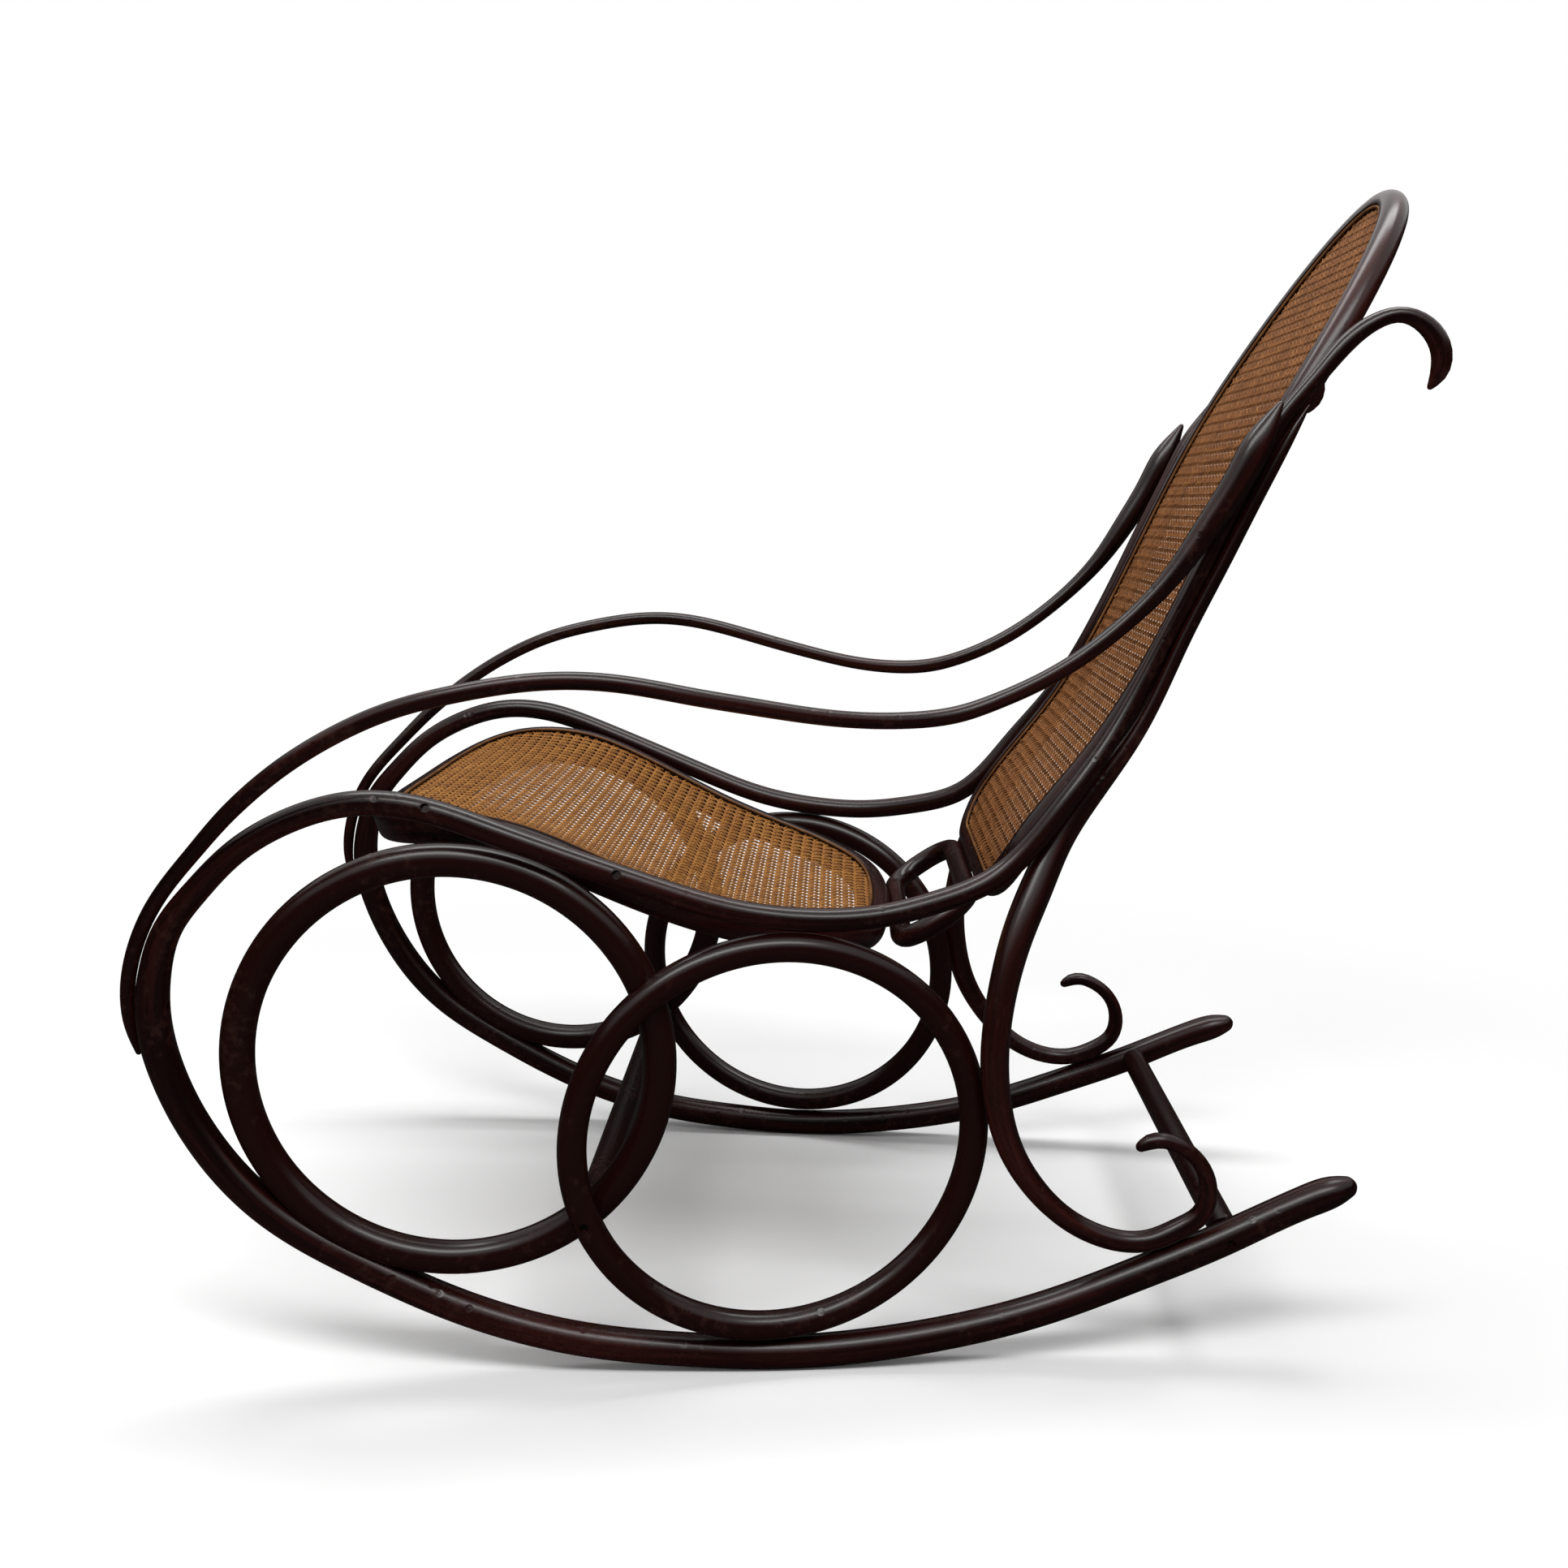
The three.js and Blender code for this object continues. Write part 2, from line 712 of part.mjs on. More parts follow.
// Straight round bar between two points
function roundBar(from, to, radius, sides) {
  const axis = to.clone().sub(from);
  const geometry = new THREE.CylinderGeometry(radius, radius, axis.length(), sides);
  const turn = new THREE.Quaternion().setFromUnitVectors(new THREE.Vector3(0, 1, 0), axis.normalize());
  geometry.applyQuaternion(turn);
  const middle = from.clone().add(to).multiplyScalar(0.5);
  return geometry.translate(middle.x, middle.y, middle.z);
}

// Wood screw and its bore, along +Y before they are turned: the head's top face is at the origin
function screwProfile(length, extra, headRise) {
  const head = screwHead / 2 + extra;
  const shank = screwShank / 2 + extra;
  return [
    new THREE.Vector2(0, -headRise),
    new THREE.Vector2(head, -headRise),
    new THREE.Vector2(head, screwHeadHeight + extra),
    new THREE.Vector2(shank, screwHeadHeight + extra),
    new THREE.Vector2(shank, length - screwShank),
    new THREE.Vector2(0, length + extra),
  ];
}

function screwShape(start, direction, length, extra, headRise) {
  const geometry = new THREE.LatheGeometry(screwProfile(length, extra, headRise), screwSides);
  const turn = new THREE.Quaternion().setFromUnitVectors(new THREE.Vector3(0, 1, 0), direction);
  geometry.applyQuaternion(turn).translate(start.x, start.y, start.z);
  const bare = new THREE.BufferGeometry();
  bare.setAttribute("position", geometry.getAttribute("position"));
  bare.setIndex(geometry.index);
  return turnedOut(mergeVertices(bare, weldTolerance));
}

function makeScrew(start, direction, length) {
  return {
    body: screwShape(start, direction, length, 0, 0),
    bore: screwShape(start, direction, length, seatGap, cutOverrun),
  };
}

// Side frame pieces, on the sitter's left

const legLine = legSpline();
const armLine = armSpline();
const railSteps = 80;
const armSteps = 42;
const legSteps = 42;

const [lowerCrossing] = ringCrossings();
const rearRingCrossing = ringPoint(
  rearRing,
  Math.atan2(lowerCrossing.z - rearRing.up, lowerCrossing.y - rearRing.along),
);

// Seat, as wide as the clear space between the front rings
const seatRim = seatOutline(frontRing.side - frontRing.radius - seatRingClearance);
const halfFrame = seatFrameWidth / 2;
const roundShare = 0.3;
const seatRound = roundShare * seatFrameHeight;
const rebateDepth = caneThickness + splineRod + 2 * seatGap;
const seatSection = [
  [0, -seatRound],
  [0, seatRound - seatFrameHeight],
  [seatRound, -seatFrameHeight],
  [seatFrameWidth - seatRound, -seatFrameHeight],
  [seatFrameWidth, seatRound - seatFrameHeight],
  [seatFrameWidth, -rebateDepth],
  [seatFrameWidth - seatRebateWidth, -rebateDepth],
  [seatFrameWidth - seatRebateWidth, 0],
  [seatRound, 0],
];
const seatFrame = sheetFrame(seatSheet, seatRim, seatSection);
const seatPlateRim = insetOutline(seatRim, seatFrameWidth - seatRebateWidth + seatGap);
const seatPlate = sheetPlate(seatSheet, seatPlateRim, 2 * seatGap - rebateDepth, caneThickness);
const splineInset = splineRod / 2 + seatGap;

function splineSection(inset, lift) {
  const half = splineRod / 2 - seatGap / 2;
  return [
    [inset - half, lift - half],
    [inset + half, lift - half],
    [inset + half, lift + half],
    [inset - half, lift + half],
  ];
}
const seatSplineLift = 3 * seatGap - rebateDepth + caneThickness + splineRod / 2;
const seatSplineInset = seatFrameWidth - seatRebateWidth + splineInset;
const seatSpline = sheetFrame(seatSheet, seatRim, splineSection(seatSplineInset, seatSplineLift));

// Back hoop with a rebate on its front inner side, cane panel and spline
const hoopRim = hoopOutline();
const hoopRadius = hoopRod / 2;
function hoopSection() {
  const points = [];
  for (let k = 0; k < hoopSides; k++) {
    const angle = (2 * Math.PI * k) / hoopSides;
    points.push([hoopRadius * Math.cos(angle), hoopRadius * Math.sin(angle)]);
  }
  return points;
}
const hoopRebateShare = 0.3;
const hoopLedge = hoopRebateShare * hoopRadius;
function hoopRebate() {
  const wall = hoopRadius - hoopRebateWidth / 2;
  return [
    [wall, hoopLedge],
    [2 * hoopRadius, hoopLedge],
    [2 * hoopRadius, 2 * hoopRadius],
    [wall, 2 * hoopRadius],
  ];
}
const backHoopBlank = sheetFrame(backSheet, hoopRim, hoopSection());
const backHoop = cut(backHoopBlank, sheetFrame(backSheet, hoopRim, hoopRebate()));
const backPlateRim = insetOutline(hoopRim, hoopRadius - hoopRebateWidth / 2 + seatGap);
const backPlate = sheetPlate(backSheet, backPlateRim, hoopLedge + seatGap, caneThickness);
const backSplineLift = hoopLedge + seatGap + caneThickness + seatGap + splineRod / 2;
const backSplineInset = hoopRadius - hoopRebateWidth / 2 + splineInset;
const backSpline = sheetFrame(backSheet, hoopRim, splineSection(backSplineInset, backSplineLift));

// Connecting loop: a closed bent rod from the seat's rear edge to the hoop's foot
const loopStations = 32;
function roundedRim(halfWidth, depth, corner) {
  const far = halfWidth - corner;
  const rim = new THREE.Path();
  rim.moveTo(0, 0);
  rim.lineTo(far, 0);
  rim.absarc(far, corner, corner, -Math.PI / 2, 0, false);
  rim.lineTo(halfWidth, depth - corner);
  rim.absarc(far, depth - corner, corner, 0, Math.PI / 2, false);
  rim.lineTo(-far, depth);
  rim.absarc(-far, depth - corner, corner, Math.PI / 2, Math.PI, false);
  rim.lineTo(-halfWidth, corner);
  rim.absarc(-far, corner, corner, Math.PI, 1.5 * Math.PI, false);
  rim.closePath();
  return spacedOutline(rim, loopStations);
}

function connectingLoop() {
  const front = seatSheet.pointAt(0, seatSheet.length + loopRod / 2 + seatGap, -seatFrameHeight / 2);
  const forward = backSheet.pointAt(0, 0, 0).sub(front);
  const hoopFlatReach = (hoopRod / 2) * Math.cos(Math.PI / hoopSides);
  const depth = forward.length() - loopRod / 2 - hoopFlatReach - seatGap;
  forward.normalize();
  const lift = new THREE.Vector3().crossVectors(across, forward);
  const outline = roundedRim(loopHalfWidth, depth, loopCornerRadius);
  const rings = outline.map(() => []);
  for (let k = 0; k < thinRodSides; k++) {
    const angle = (2 * Math.PI * k) / thinRodSides;
    const inward = (loopRod / 2) * Math.cos(angle);
    const above = (loopRod / 2) * Math.sin(angle);
    insetOutline(outline, inward).forEach(([side, run], i) => {
      const point = front.clone().addScaledVector(forward, run).addScaledVector(lift, above);
      point.x += side;
      rings[i].push(point);
    });
  }
  return skin(rings, true);
}

// Stretchers: straight bars whose ends are shaped to the rods they butt against
const bentRail = bentRod(rail, railSteps, rodSides);
const railClearance = bentRod(rail, railSteps, rodSides, seatGap);
const endReachShare = 0.75;
function stretcher(along, up, sideReach, radius, clearance) {
  const bar = roundBar(
    new THREE.Vector3(-sideReach, along, up),
    new THREE.Vector3(sideReach, along, up),
    radius,
    stretcherSides,
  );
  return cut(bar, clearance, mirrored(clearance));
}
const frontStretcherReach = lowerCrossing.x - endReachShare * frontRing.radius;
const frontRingClearance = ringRod(frontRing, thinRodSides, seatGap);
const frontStretcher = stretcher(
  lowerCrossing.y,
  lowerCrossing.z,
  frontStretcherReach,
  frontStretcherRod / 2,
  frontRingClearance,
);
const rearStretcherAlongShare = 0.365;
const rearStretcherSeat = rail.pointAt(
  rail.whereColumn(1, rearStretcherAlongShare * chairLength, 0, rockerLowShare),
);
const rearStretcher = stretcher(
  rearStretcherSeat.y,
  rearStretcherSeat.z,
  rearStretcherSeat.x - (endReachShare * rockerRod) / 2,
  rearStretcherRod / 2,
  railClearance,
);

// Screws of the left side frame
const inwards = new THREE.Vector3(-1, 0, 0);
function screwFrom(surface, direction, length) {
  return makeScrew(surface.clone().addScaledVector(direction, screwSink), direction, length - screwSink);
}

// Seat bolt: from the rail's outer side down into the seat frame's outer side
function seatBolt(alongShare) {
  const s = rail.whereColumn(1, alongShare * chairLength, railFrontShare, railRearShare);
  const centre = rail.pointAt(s);
  const run = seatSheet.line.whereColumn(1, alongShare * chairLength, 0, 1);
  const rim = seatRim.filter(([side]) => side > 0);
  const nearest = rim.reduce((best, point) => (Math.abs(point[1] - run) < Math.abs(best[1] - run) ? point : best));
  const target = seatSheet.pointAt(nearest[0] - halfFrame, run, -seatFrameHeight / 2);
  target.y = centre.y;
  const direction = target.clone().sub(centre).normalize();
  const surface = centre.clone().addScaledVector(direction, -rail.at(s)[3]);
  return screwFrom(surface, direction, target.distanceTo(surface));
}

// Screw through both rings at their lower crossing into the front stretcher's end
function ringScrew() {
  const outer = rearRingCrossing.clone();
  outer.x += rearRing.radius;
  const length = outer.x - (lowerCrossing.x - frontRing.radius) + screwBite;
  outer.y = lowerCrossing.y;
  outer.z = lowerCrossing.z;
  return screwFrom(outer, inwards, length);
}

// Screw through the rocker into the rear stretcher's end
function stretcherScrew() {
  const outer = rearStretcherSeat.clone();
  outer.x += rockerRod / 2;
  return screwFrom(outer, inwards, rockerRod + screwBite);
}

// Screw from the inner edge of the front loop forwards into the arm's lap
function armScrew(upShare) {
  const s = rail.whereColumn(2, upShare * chairHeight, rockerLowShare, railFrontShare);
  const { inPlane } = sideFrame(rail.tangentAt(s));
  const radius = rail.at(s)[3];
  const surface = rail.pointAt(s).addScaledVector(inPlane, -radius);
  return screwFrom(surface, inPlane, 2 * radius + seatGap + armScrewBite);
}

const seatBoltFrontAlongShare = -0.2405;
const seatBoltRearAlongShare = -0.1055;
const armScrewUpperUpShare = 0.378;
const armScrewLowerUpShare = 0.33;
const seatBoltFront = seatBolt(seatBoltFrontAlongShare);
const seatBoltRear = seatBolt(seatBoltRearAlongShare);
const crossingScrew = ringScrew();
const rearStretcherScrew = stretcherScrew();
const armScrewUpper = armScrew(armScrewUpperUpShare);
const armScrewLower = armScrew(armScrewLowerUpShare);

// Underside of the rockers: a short flat at the lowest place, on which the chair rests
function railLowest() {
  let lowest = Infinity;
  for (let i = 0; i <= railSteps; i++) {
    const s = (i / railSteps) * rockerEndShare * rail.length;
    lowest = Math.min(lowest, rail.at(s)[2] - rail.at(s)[3] * Math.cos(Math.PI / rodSides));
  }
  return lowest;
}
const floorLevel = railLowest() + floorFlatDepth;
const floorCutter = new THREE.BoxGeometry(chairWidth, chairLength, rockerRod);
floorCutter.translate(chairWidth / 2, 0, floorLevel - rockerRod / 2);

// Assembly
const wood = { color: 0x1a0f0c, roughness: 0.32, metalness: 0 };
const cane = { color: 0x9c6428, roughness: 0.6, metalness: 0 };
const steel = { color: 0x1c1512, roughness: 0.45, metalness: 0.7 };

const chair = new THREE.Group();
function addPiece(name, geometry, look) {
  const mesh = new THREE.Mesh(geometry, new THREE.MeshStandardMaterial(look));
  mesh.name = name;
  chair.add(mesh);
}
function addPair(name, geometry, look) {
  addPiece(name + "_left", geometry, look);
  addPiece(name + "_right", mirrored(geometry), look);
}

function bores(...screws) {
  return screws.map((screw) => screw.bore);
}

const railScrews = bores(seatBoltFront, seatBoltRear, rearStretcherScrew, armScrewUpper, armScrewLower);
addPair("side_rail", cut(bentRail, floorCutter, ...railScrews), wood);
addPair("arm", cut(bentRod(armLine, armSteps, thinRodSides), ...bores(armScrewUpper, armScrewLower)), wood);
addPair("back_leg", bentRod(legLine, legSteps, thinRodSides), wood);

const rearRingBlank = ringRod(rearRing, thinRodSides);
const frontRingBlank = ringRod(frontRing, thinRodSides);
const ringScrewBore = crossingScrew.bore;
const frontRingBody = cut(frontRingBlank, ringRod(rearRing, thinRodSides, seatGap), railClearance, ringScrewBore);
addPair("front_ring", frontRingBody, wood);
addPair("rear_ring", cut(rearRingBlank, ringScrewBore), wood);

addPiece("back_hoop", backHoop, wood);
addPiece("back_cane_panel", backPlate, cane);
addPiece("back_cane_spline", backSpline, cane);

const seatBores = bores(seatBoltFront, seatBoltRear);
addPiece("seat_frame", cut(seatFrame, ...seatBores, ...seatBores.map(mirrored)), wood);
addPiece("seat_cane_panel", seatPlate, cane);
addPiece("seat_cane_spline", seatSpline, cane);
addPiece("connecting_loop", connectingLoop(), wood);
addPiece("front_stretcher", cut(frontStretcher, ringScrewBore, mirrored(ringScrewBore)), wood);
const rearBore = rearStretcherScrew.bore;
addPiece("rear_stretcher", cut(rearStretcher, rearBore, mirrored(rearBore)), wood);

addPair("seat_bolt_front", seatBoltFront.body, steel);
addPair("seat_bolt_rear", seatBoltRear.body, steel);
addPair("ring_screw", crossingScrew.body, steel);
addPair("stretcher_screw", rearStretcherScrew.body, steel);
addPair("arm_screw_upper", armScrewUpper.body, steel);
addPair("arm_screw_lower", armScrewLower.body, steel);

// The footprint's middle goes to the origin, and the flats of the rockers to the floor
const footprint = new THREE.Box3().setFromObject(chair);
chair.position.set(0, -(footprint.min.y + footprint.max.y) / 2, -floorLevel);

export default chair;
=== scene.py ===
# %% [markdown]
# # Bentwood rocking chair
# The chair is a set of long beech sticks, steamed, bent round iron forms, dried, and stained
# almost black. Two side rails make the rockers, the front loops, the seat rails and the curls
# behind the back. Rings, back legs and arms are lapped onto them with screws, and the seat and
# the back are woven cane. This lesson rebuilds it over the measured model, piece by piece.

# %% Load the measured model
import math
import bpy
import numpy as np
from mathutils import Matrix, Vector


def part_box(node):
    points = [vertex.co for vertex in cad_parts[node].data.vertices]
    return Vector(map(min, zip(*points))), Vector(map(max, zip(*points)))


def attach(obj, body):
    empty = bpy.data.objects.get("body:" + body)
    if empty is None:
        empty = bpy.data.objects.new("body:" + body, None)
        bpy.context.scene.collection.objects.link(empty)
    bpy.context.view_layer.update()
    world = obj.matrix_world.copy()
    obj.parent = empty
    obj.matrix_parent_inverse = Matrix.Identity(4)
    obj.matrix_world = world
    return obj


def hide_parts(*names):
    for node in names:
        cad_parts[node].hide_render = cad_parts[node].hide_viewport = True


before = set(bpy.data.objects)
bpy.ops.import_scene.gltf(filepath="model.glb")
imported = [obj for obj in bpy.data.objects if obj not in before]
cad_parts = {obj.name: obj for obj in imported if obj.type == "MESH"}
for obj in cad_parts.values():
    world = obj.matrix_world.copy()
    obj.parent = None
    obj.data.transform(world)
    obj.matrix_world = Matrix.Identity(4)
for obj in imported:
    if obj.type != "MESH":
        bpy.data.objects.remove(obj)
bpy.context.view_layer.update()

print("measured pieces:", len(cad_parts))

# %% [markdown]
# ## Camera
# The photograph looks at the chair's left side from a little above the seat. A person finds
# such a camera by sliding it until the rockers, rings and back line up. The lens is given in
# millimetres for a 36 mm wide picture, and the direction is turned into a rotation.

# %% Camera
camera_place = (1.3854, 0.0418, 0.7102)
camera_turn, camera_tilt = math.radians(2.05), math.radians(10.59)
sensor_width_mm, picture_width_px, focal_length_px = 36, 1932, 1850

bpy.ops.object.select_all(action="DESELECT")
bpy.ops.object.camera_add(location=camera_place)
camera = bpy.context.object
camera.name = "photo_camera"
looking = Vector((
    -math.cos(camera_tilt) * math.cos(camera_turn),
    -math.cos(camera_tilt) * math.sin(camera_turn),
    -math.sin(camera_tilt),
))
camera.rotation_euler = looking.to_track_quat("-Z", "Y").to_euler()
camera.data.sensor_width = sensor_width_mm
camera.data.lens = focal_length_px / picture_width_px * sensor_width_mm
camera.data.clip_start = 0.05
bpy.context.scene.camera = camera
print("lens", round(camera.data.lens, 2), "mm")

# %% [markdown]
# ## The chair's measures
# Every bent stick follows a route of places that a chair maker would mark on the bending form.
# Each place is given as shares of the chair's width, length and height, with the thickness of
# the stick there. They are the same places that the measured model uses, here in metres.

# %% Measures in metres
chair_length, chair_height, chair_width = 1.060, 0.980, 0.620
to_floor = np.array((0.0, -0.01604, -0.00189))
gap = 0.0003
rocker_rod, arm_rod, leg_rod, leg_foot_rod = 0.028, 0.015, 0.024, 0.0185
front_ring_rod, rear_ring_rod = 0.028, 0.0245
hoop_rod, loop_rod = 0.024, 0.020
front_stretcher_rod, rear_stretcher_rod = 0.026, 0.025
rail_beside_rod, leg_beside_rod, arm_hold_rod = 0.013, 0.012, 0.025
rail_turn, leg_turn, arm_turn = 0.12, -0.105, 0.18
rail_inner_share, arm_inner_share, leg_inner_share = 0.5035, 0.556, 0.501
hoop_half_width, hoop_corner, hoop_arch, hoop_top_gap = 0.138, 0.046, 0.215, 0.002
loop_half_width, loop_corner = 0.112, 0.032
seat_half_width = 0.243
seat_frame_width, seat_frame_height = 0.030, 0.027
cane_thickness, spline_rod, seat_rebate, hoop_rebate = 0.0024, 0.0032, 0.012, 0.014
roundness, arm_roundness = 0.975, 0.91


def place(along, up):
    return Vector((0.0, along * chair_length, up * chair_height))


def step_out(distance, turn_share):
    angle = turn_share * math.pi
    return (distance * math.cos(angle), distance * math.sin(angle))


rail_beside = step_out((hoop_rod + rail_beside_rod) / 2 + 3 * gap, rail_turn)
leg_beside = step_out((hoop_rod + leg_beside_rod) / 2 + gap, leg_turn)
arm_step = step_out((rail_beside_rod + arm_hold_rod) / 2 + gap, arm_turn)
arm_beside = (rail_beside[0] + arm_step[0], rail_beside[1] + arm_step[1])
print("rail beside the hoop:", [round(v, 4) for v in rail_beside])

# %% [markdown]
# ## A smooth route through marked places
# A bent stick is springy: between two places it takes the smoothest curve. The natural cubic
# spline does the same thing, so each stick's route is one such spline. Its fourth number is the
# stick's radius, so the taper is as smooth as the bend.

# %% Routes
tangent_steps, halvings = 4000, 40


def unit(ways):
    return ways / np.linalg.norm(ways, axis=-1, keepdims=True)


class Route:
    def __init__(self, rows):
        self.rows = np.array(rows, float)
        steps = np.linalg.norm(np.diff(self.rows[:, :3], axis=0), axis=1)
        self.knots = np.concatenate([[0.0], np.cumsum(steps)])
        self.length = float(self.knots[-1])
        count = len(self.rows)
        matrix = np.eye(count)
        right = np.zeros_like(self.rows)
        for i in range(1, count - 1):
            before, after = steps[i - 1], steps[i]
            matrix[i, i - 1], matrix[i, i], matrix[i, i + 1] = before / 6, (before + after) / 3, after / 6
            right[i] = (self.rows[i + 1] - self.rows[i]) / after - (self.rows[i] - self.rows[i - 1]) / before
        self.bends = np.linalg.solve(matrix, right)

    def at(self, distance):
        s = np.clip(np.atleast_1d(np.asarray(distance, float)), 0, self.length)
        i = np.clip(np.searchsorted(self.knots, s), 1, len(self.knots) - 1)
        span = (self.knots[i] - self.knots[i - 1])[:, None]
        b = (s - self.knots[i - 1])[:, None] / span
        a = 1 - b
        bend = ((a**3 - a) * self.bends[i - 1] + (b**3 - b) * self.bends[i]) * span**2 / 6
        return a * self.rows[i - 1] + b * self.rows[i] + bend

    def tangent(self, distance):
        s = np.atleast_1d(np.asarray(distance, float))
        nudge = self.length / tangent_steps
        return unit(self.at(s + nudge)[:, :3] - self.at(s - nudge)[:, :3])

    def where(self, column, value, low_share, high_share):
        low, high = low_share * self.length, high_share * self.length
        rising = self.at(high)[0, column] > self.at(low)[0, column]
        for _ in range(halvings):
            middle = (low + high) / 2
            if (self.at(middle)[0, column] < value) == rising:
                low = middle
            else:
                high = middle
        return (low + high) / 2


def upward(tangent):
    return unit(np.cross([1.0, 0.0, 0.0], tangent))


# %% [markdown]
# ## Curved sheets for the back and the seat
# The hoop and the seat frame each lie in a sheet that curves in the side view and is straight
# across. A place on a sheet has a side offset, a run along it, and a lift off its face.

# %% Sheets
class Sheet:
    def __init__(self, shares):
        self.line = Route([[0.0, along * chair_length, up * chair_height] for along, up in shares])
        self.length = self.line.length

    def at(self, side, run, lift):
        side, run, lift = (np.asarray(v, float) for v in np.broadcast_arrays(side, run, lift))
        held = np.clip(run, 0, self.length).ravel()
        point, tangent = self.line.at(held)[:, :3], self.line.tangent(held)
        normal = np.stack([np.zeros(len(held)), -tangent[:, 2], tangent[:, 1]], 1)
        point = point + tangent * (run.ravel() - held)[:, None] + normal * lift.ravel()[:, None]
        point[:, 0] = side.ravel()
        return point.reshape(run.shape + (3,))


back_sheet = Sheet([
    (0.182, 0.392), (0.1935, 0.4165), (0.219, 0.459), (0.257, 0.512),
    (0.324, 0.641), (0.3835, 0.778), (0.432, 0.869), (0.4975, 0.986),
])
seat_sheet = Sheet([
    (-0.321, 0.4665), (-0.29, 0.477), (-0.245, 0.4815), (-0.19, 0.4725), (-0.14, 0.4505),
    (-0.094, 0.4265), (-0.047, 0.404), (0, 0.3865), (0.05, 0.371), (0.104, 0.3545),
])
print("back", round(back_sheet.length, 4), "m, seat", round(seat_sheet.length, 4), "m")


def row(point, diameter):
    return [point[0], point[1], point[2], diameter / 2]


def beside_hoop(run_share, offset):
    return back_sheet.at(hoop_half_width + offset[0], run_share * back_sheet.length, offset[1])


def side_place(offset, inner_share, across, along, up):
    inner = hoop_half_width + offset[0]
    point = place(along, up)
    point.x = inner + (across - inner_share) / (1 - inner_share) * (chair_width / 2 - inner)
    return point


def side_rows(places, offset, inner_share, rod):
    return [row(side_place(offset, inner_share, x, y, z), thick * rod) for x, y, z, thick in places]


def hoop_rows(places, offset, rod):
    return [row(beside_hoop(share, offset), thick * rod) for share, thick in places]


# %% [markdown]
# ## Marked places of the side rail
# These are the places on the left side frame: how far out, along and up, and how thick. Where
# the stick lies beside the hoop, its places are shares of the hoop's height. The right side
# frame is a mirror image.

# %% Rail route
rocker_places = [
    (0.645, 0.465, 0.1575, 0.45), (0.649, 0.4505, 0.1525, 0.86), (0.656, 0.427, 0.143, 0.98),
    (0.673, 0.363, 0.1105, 1), (0.692, 0.296, 0.08, 1), (0.713, 0.217, 0.048, 1),
    (0.737, 0.132, 0.0265, 1), (0.758, 0.054, 0.016, 1), (0.772, 0, 0.0143, 1),
    (0.784, -0.05, 0.0175, 1), (0.806, -0.134, 0.0285, 1), (0.831, -0.226, 0.0585, 1),
    (0.852, -0.313, 0.106, 1), (0.865, -0.3775, 0.153, 1), (0.874, -0.4215, 0.212, 1),
    (0.877, -0.4445, 0.267, 1), (0.877, -0.4535, 0.3255, 0.98), (0.877, -0.4495, 0.357, 0.9),
    (0.877, -0.438, 0.392, 0.81), (0.877, -0.415, 0.4235, 0.75), (0.877, -0.384, 0.456, 0.72),
    (0.875, -0.3415, 0.4825, 0.72), (0.872, -0.2935, 0.496, 0.73), (0.87, -0.247, 0.492, 0.74),
    (0.865, -0.198, 0.4745, 0.72), (0.843, -0.14, 0.45, 0.71), (0.81, -0.081, 0.425, 0.71),
    (0.776, -0.024, 0.404, 0.71), (0.739, 0.036, 0.3935, 0.71), (0.698, 0.087, 0.3935, 0.71),
    (0.65, 0.132, 0.402, 0.71), (0.6, 0.179, 0.4205, 0.7),
]
rise_places = [(0.579, 0.2265, 0.4765, 1.38), (0.537, 0.265, 0.5335, 1.16)]
curl_places = [
    (0.4095, 0.8285, 0.5), (0.4245, 0.8485, 0.54), (0.4435, 0.866, 0.5), (0.466, 0.8735, 0.45),
    (0.484, 0.8655, 0.53), (0.497, 0.843, 0.58), (0.4955, 0.8275, 0.47), (0.489, 0.816, 0.12),
]
rail_hold_places = [(0.364, 1), (0.445, 1), (0.5255, 1), (0.596, 1), (0.667, 1)]
rows = side_rows(rocker_places, rail_beside, rail_inner_share, rocker_rod)
rows += side_rows(rise_places, rail_beside, rail_inner_share, rail_beside_rod)
rows += hoop_rows(rail_hold_places, rail_beside, rail_beside_rod)
for along, up, thick in curl_places:
    point = place(along, up)
    point.x = hoop_half_width + rail_beside[0]
    rows.append(row(point, thick * rocker_rod))
rail = Route(rows)
print("rail", round(rail.length, 3), "m")


def beside_rail(distance, reach):
    return (rail.at(distance)[:, :3] + upward(rail.tangent(distance)) * reach)[0]


# %% [markdown]
# ## Marked places of the arm and the back leg
# The arm starts on the outside of the rail's front bow, at five heights, and ends beside the
# hoop. The leg starts beside the hoop too, and its foot lies along the rocker before it scrolls.

# %% Arm and leg routes
arm_foot_places = [(0.291, 0.3), (0.312, 0.62), (0.338, 0.82), (0.368, 0.86), (0.398, 0.88)]
arm_places = [
    (0.906, -0.4105, 0.4575, 0.92), (0.93, -0.386, 0.4845, 0.97), (0.955, -0.3595, 0.5095, 1),
    (0.973, -0.334, 0.53, 1), (0.987, -0.297, 0.554, 1), (0.995, -0.251, 0.5755, 1),
    (1, -0.2055, 0.588, 1), (0.995, -0.1735, 0.594, 1), (0.98, -0.133, 0.597, 1),
    (0.953, -0.0945, 0.5935, 1), (0.905, -0.047, 0.5825, 1), (0.845, -0.0115, 0.5735, 1),
    (0.77, 0.035, 0.5625, 0.97), (0.703, 0.0715, 0.556, 0.97), (0.645, 0.1085, 0.5535, 1),
    (0.6, 0.147, 0.557, 1.02), (0.574, 0.1735, 0.5655, 1), (0.563, 0.223, 0.591, 1),
    (0.558, 0.271, 0.63, 1), (0.554, 0.3085, 0.6735, 1.25), (0.552, 0.3275, 0.7045, 1.5),
]
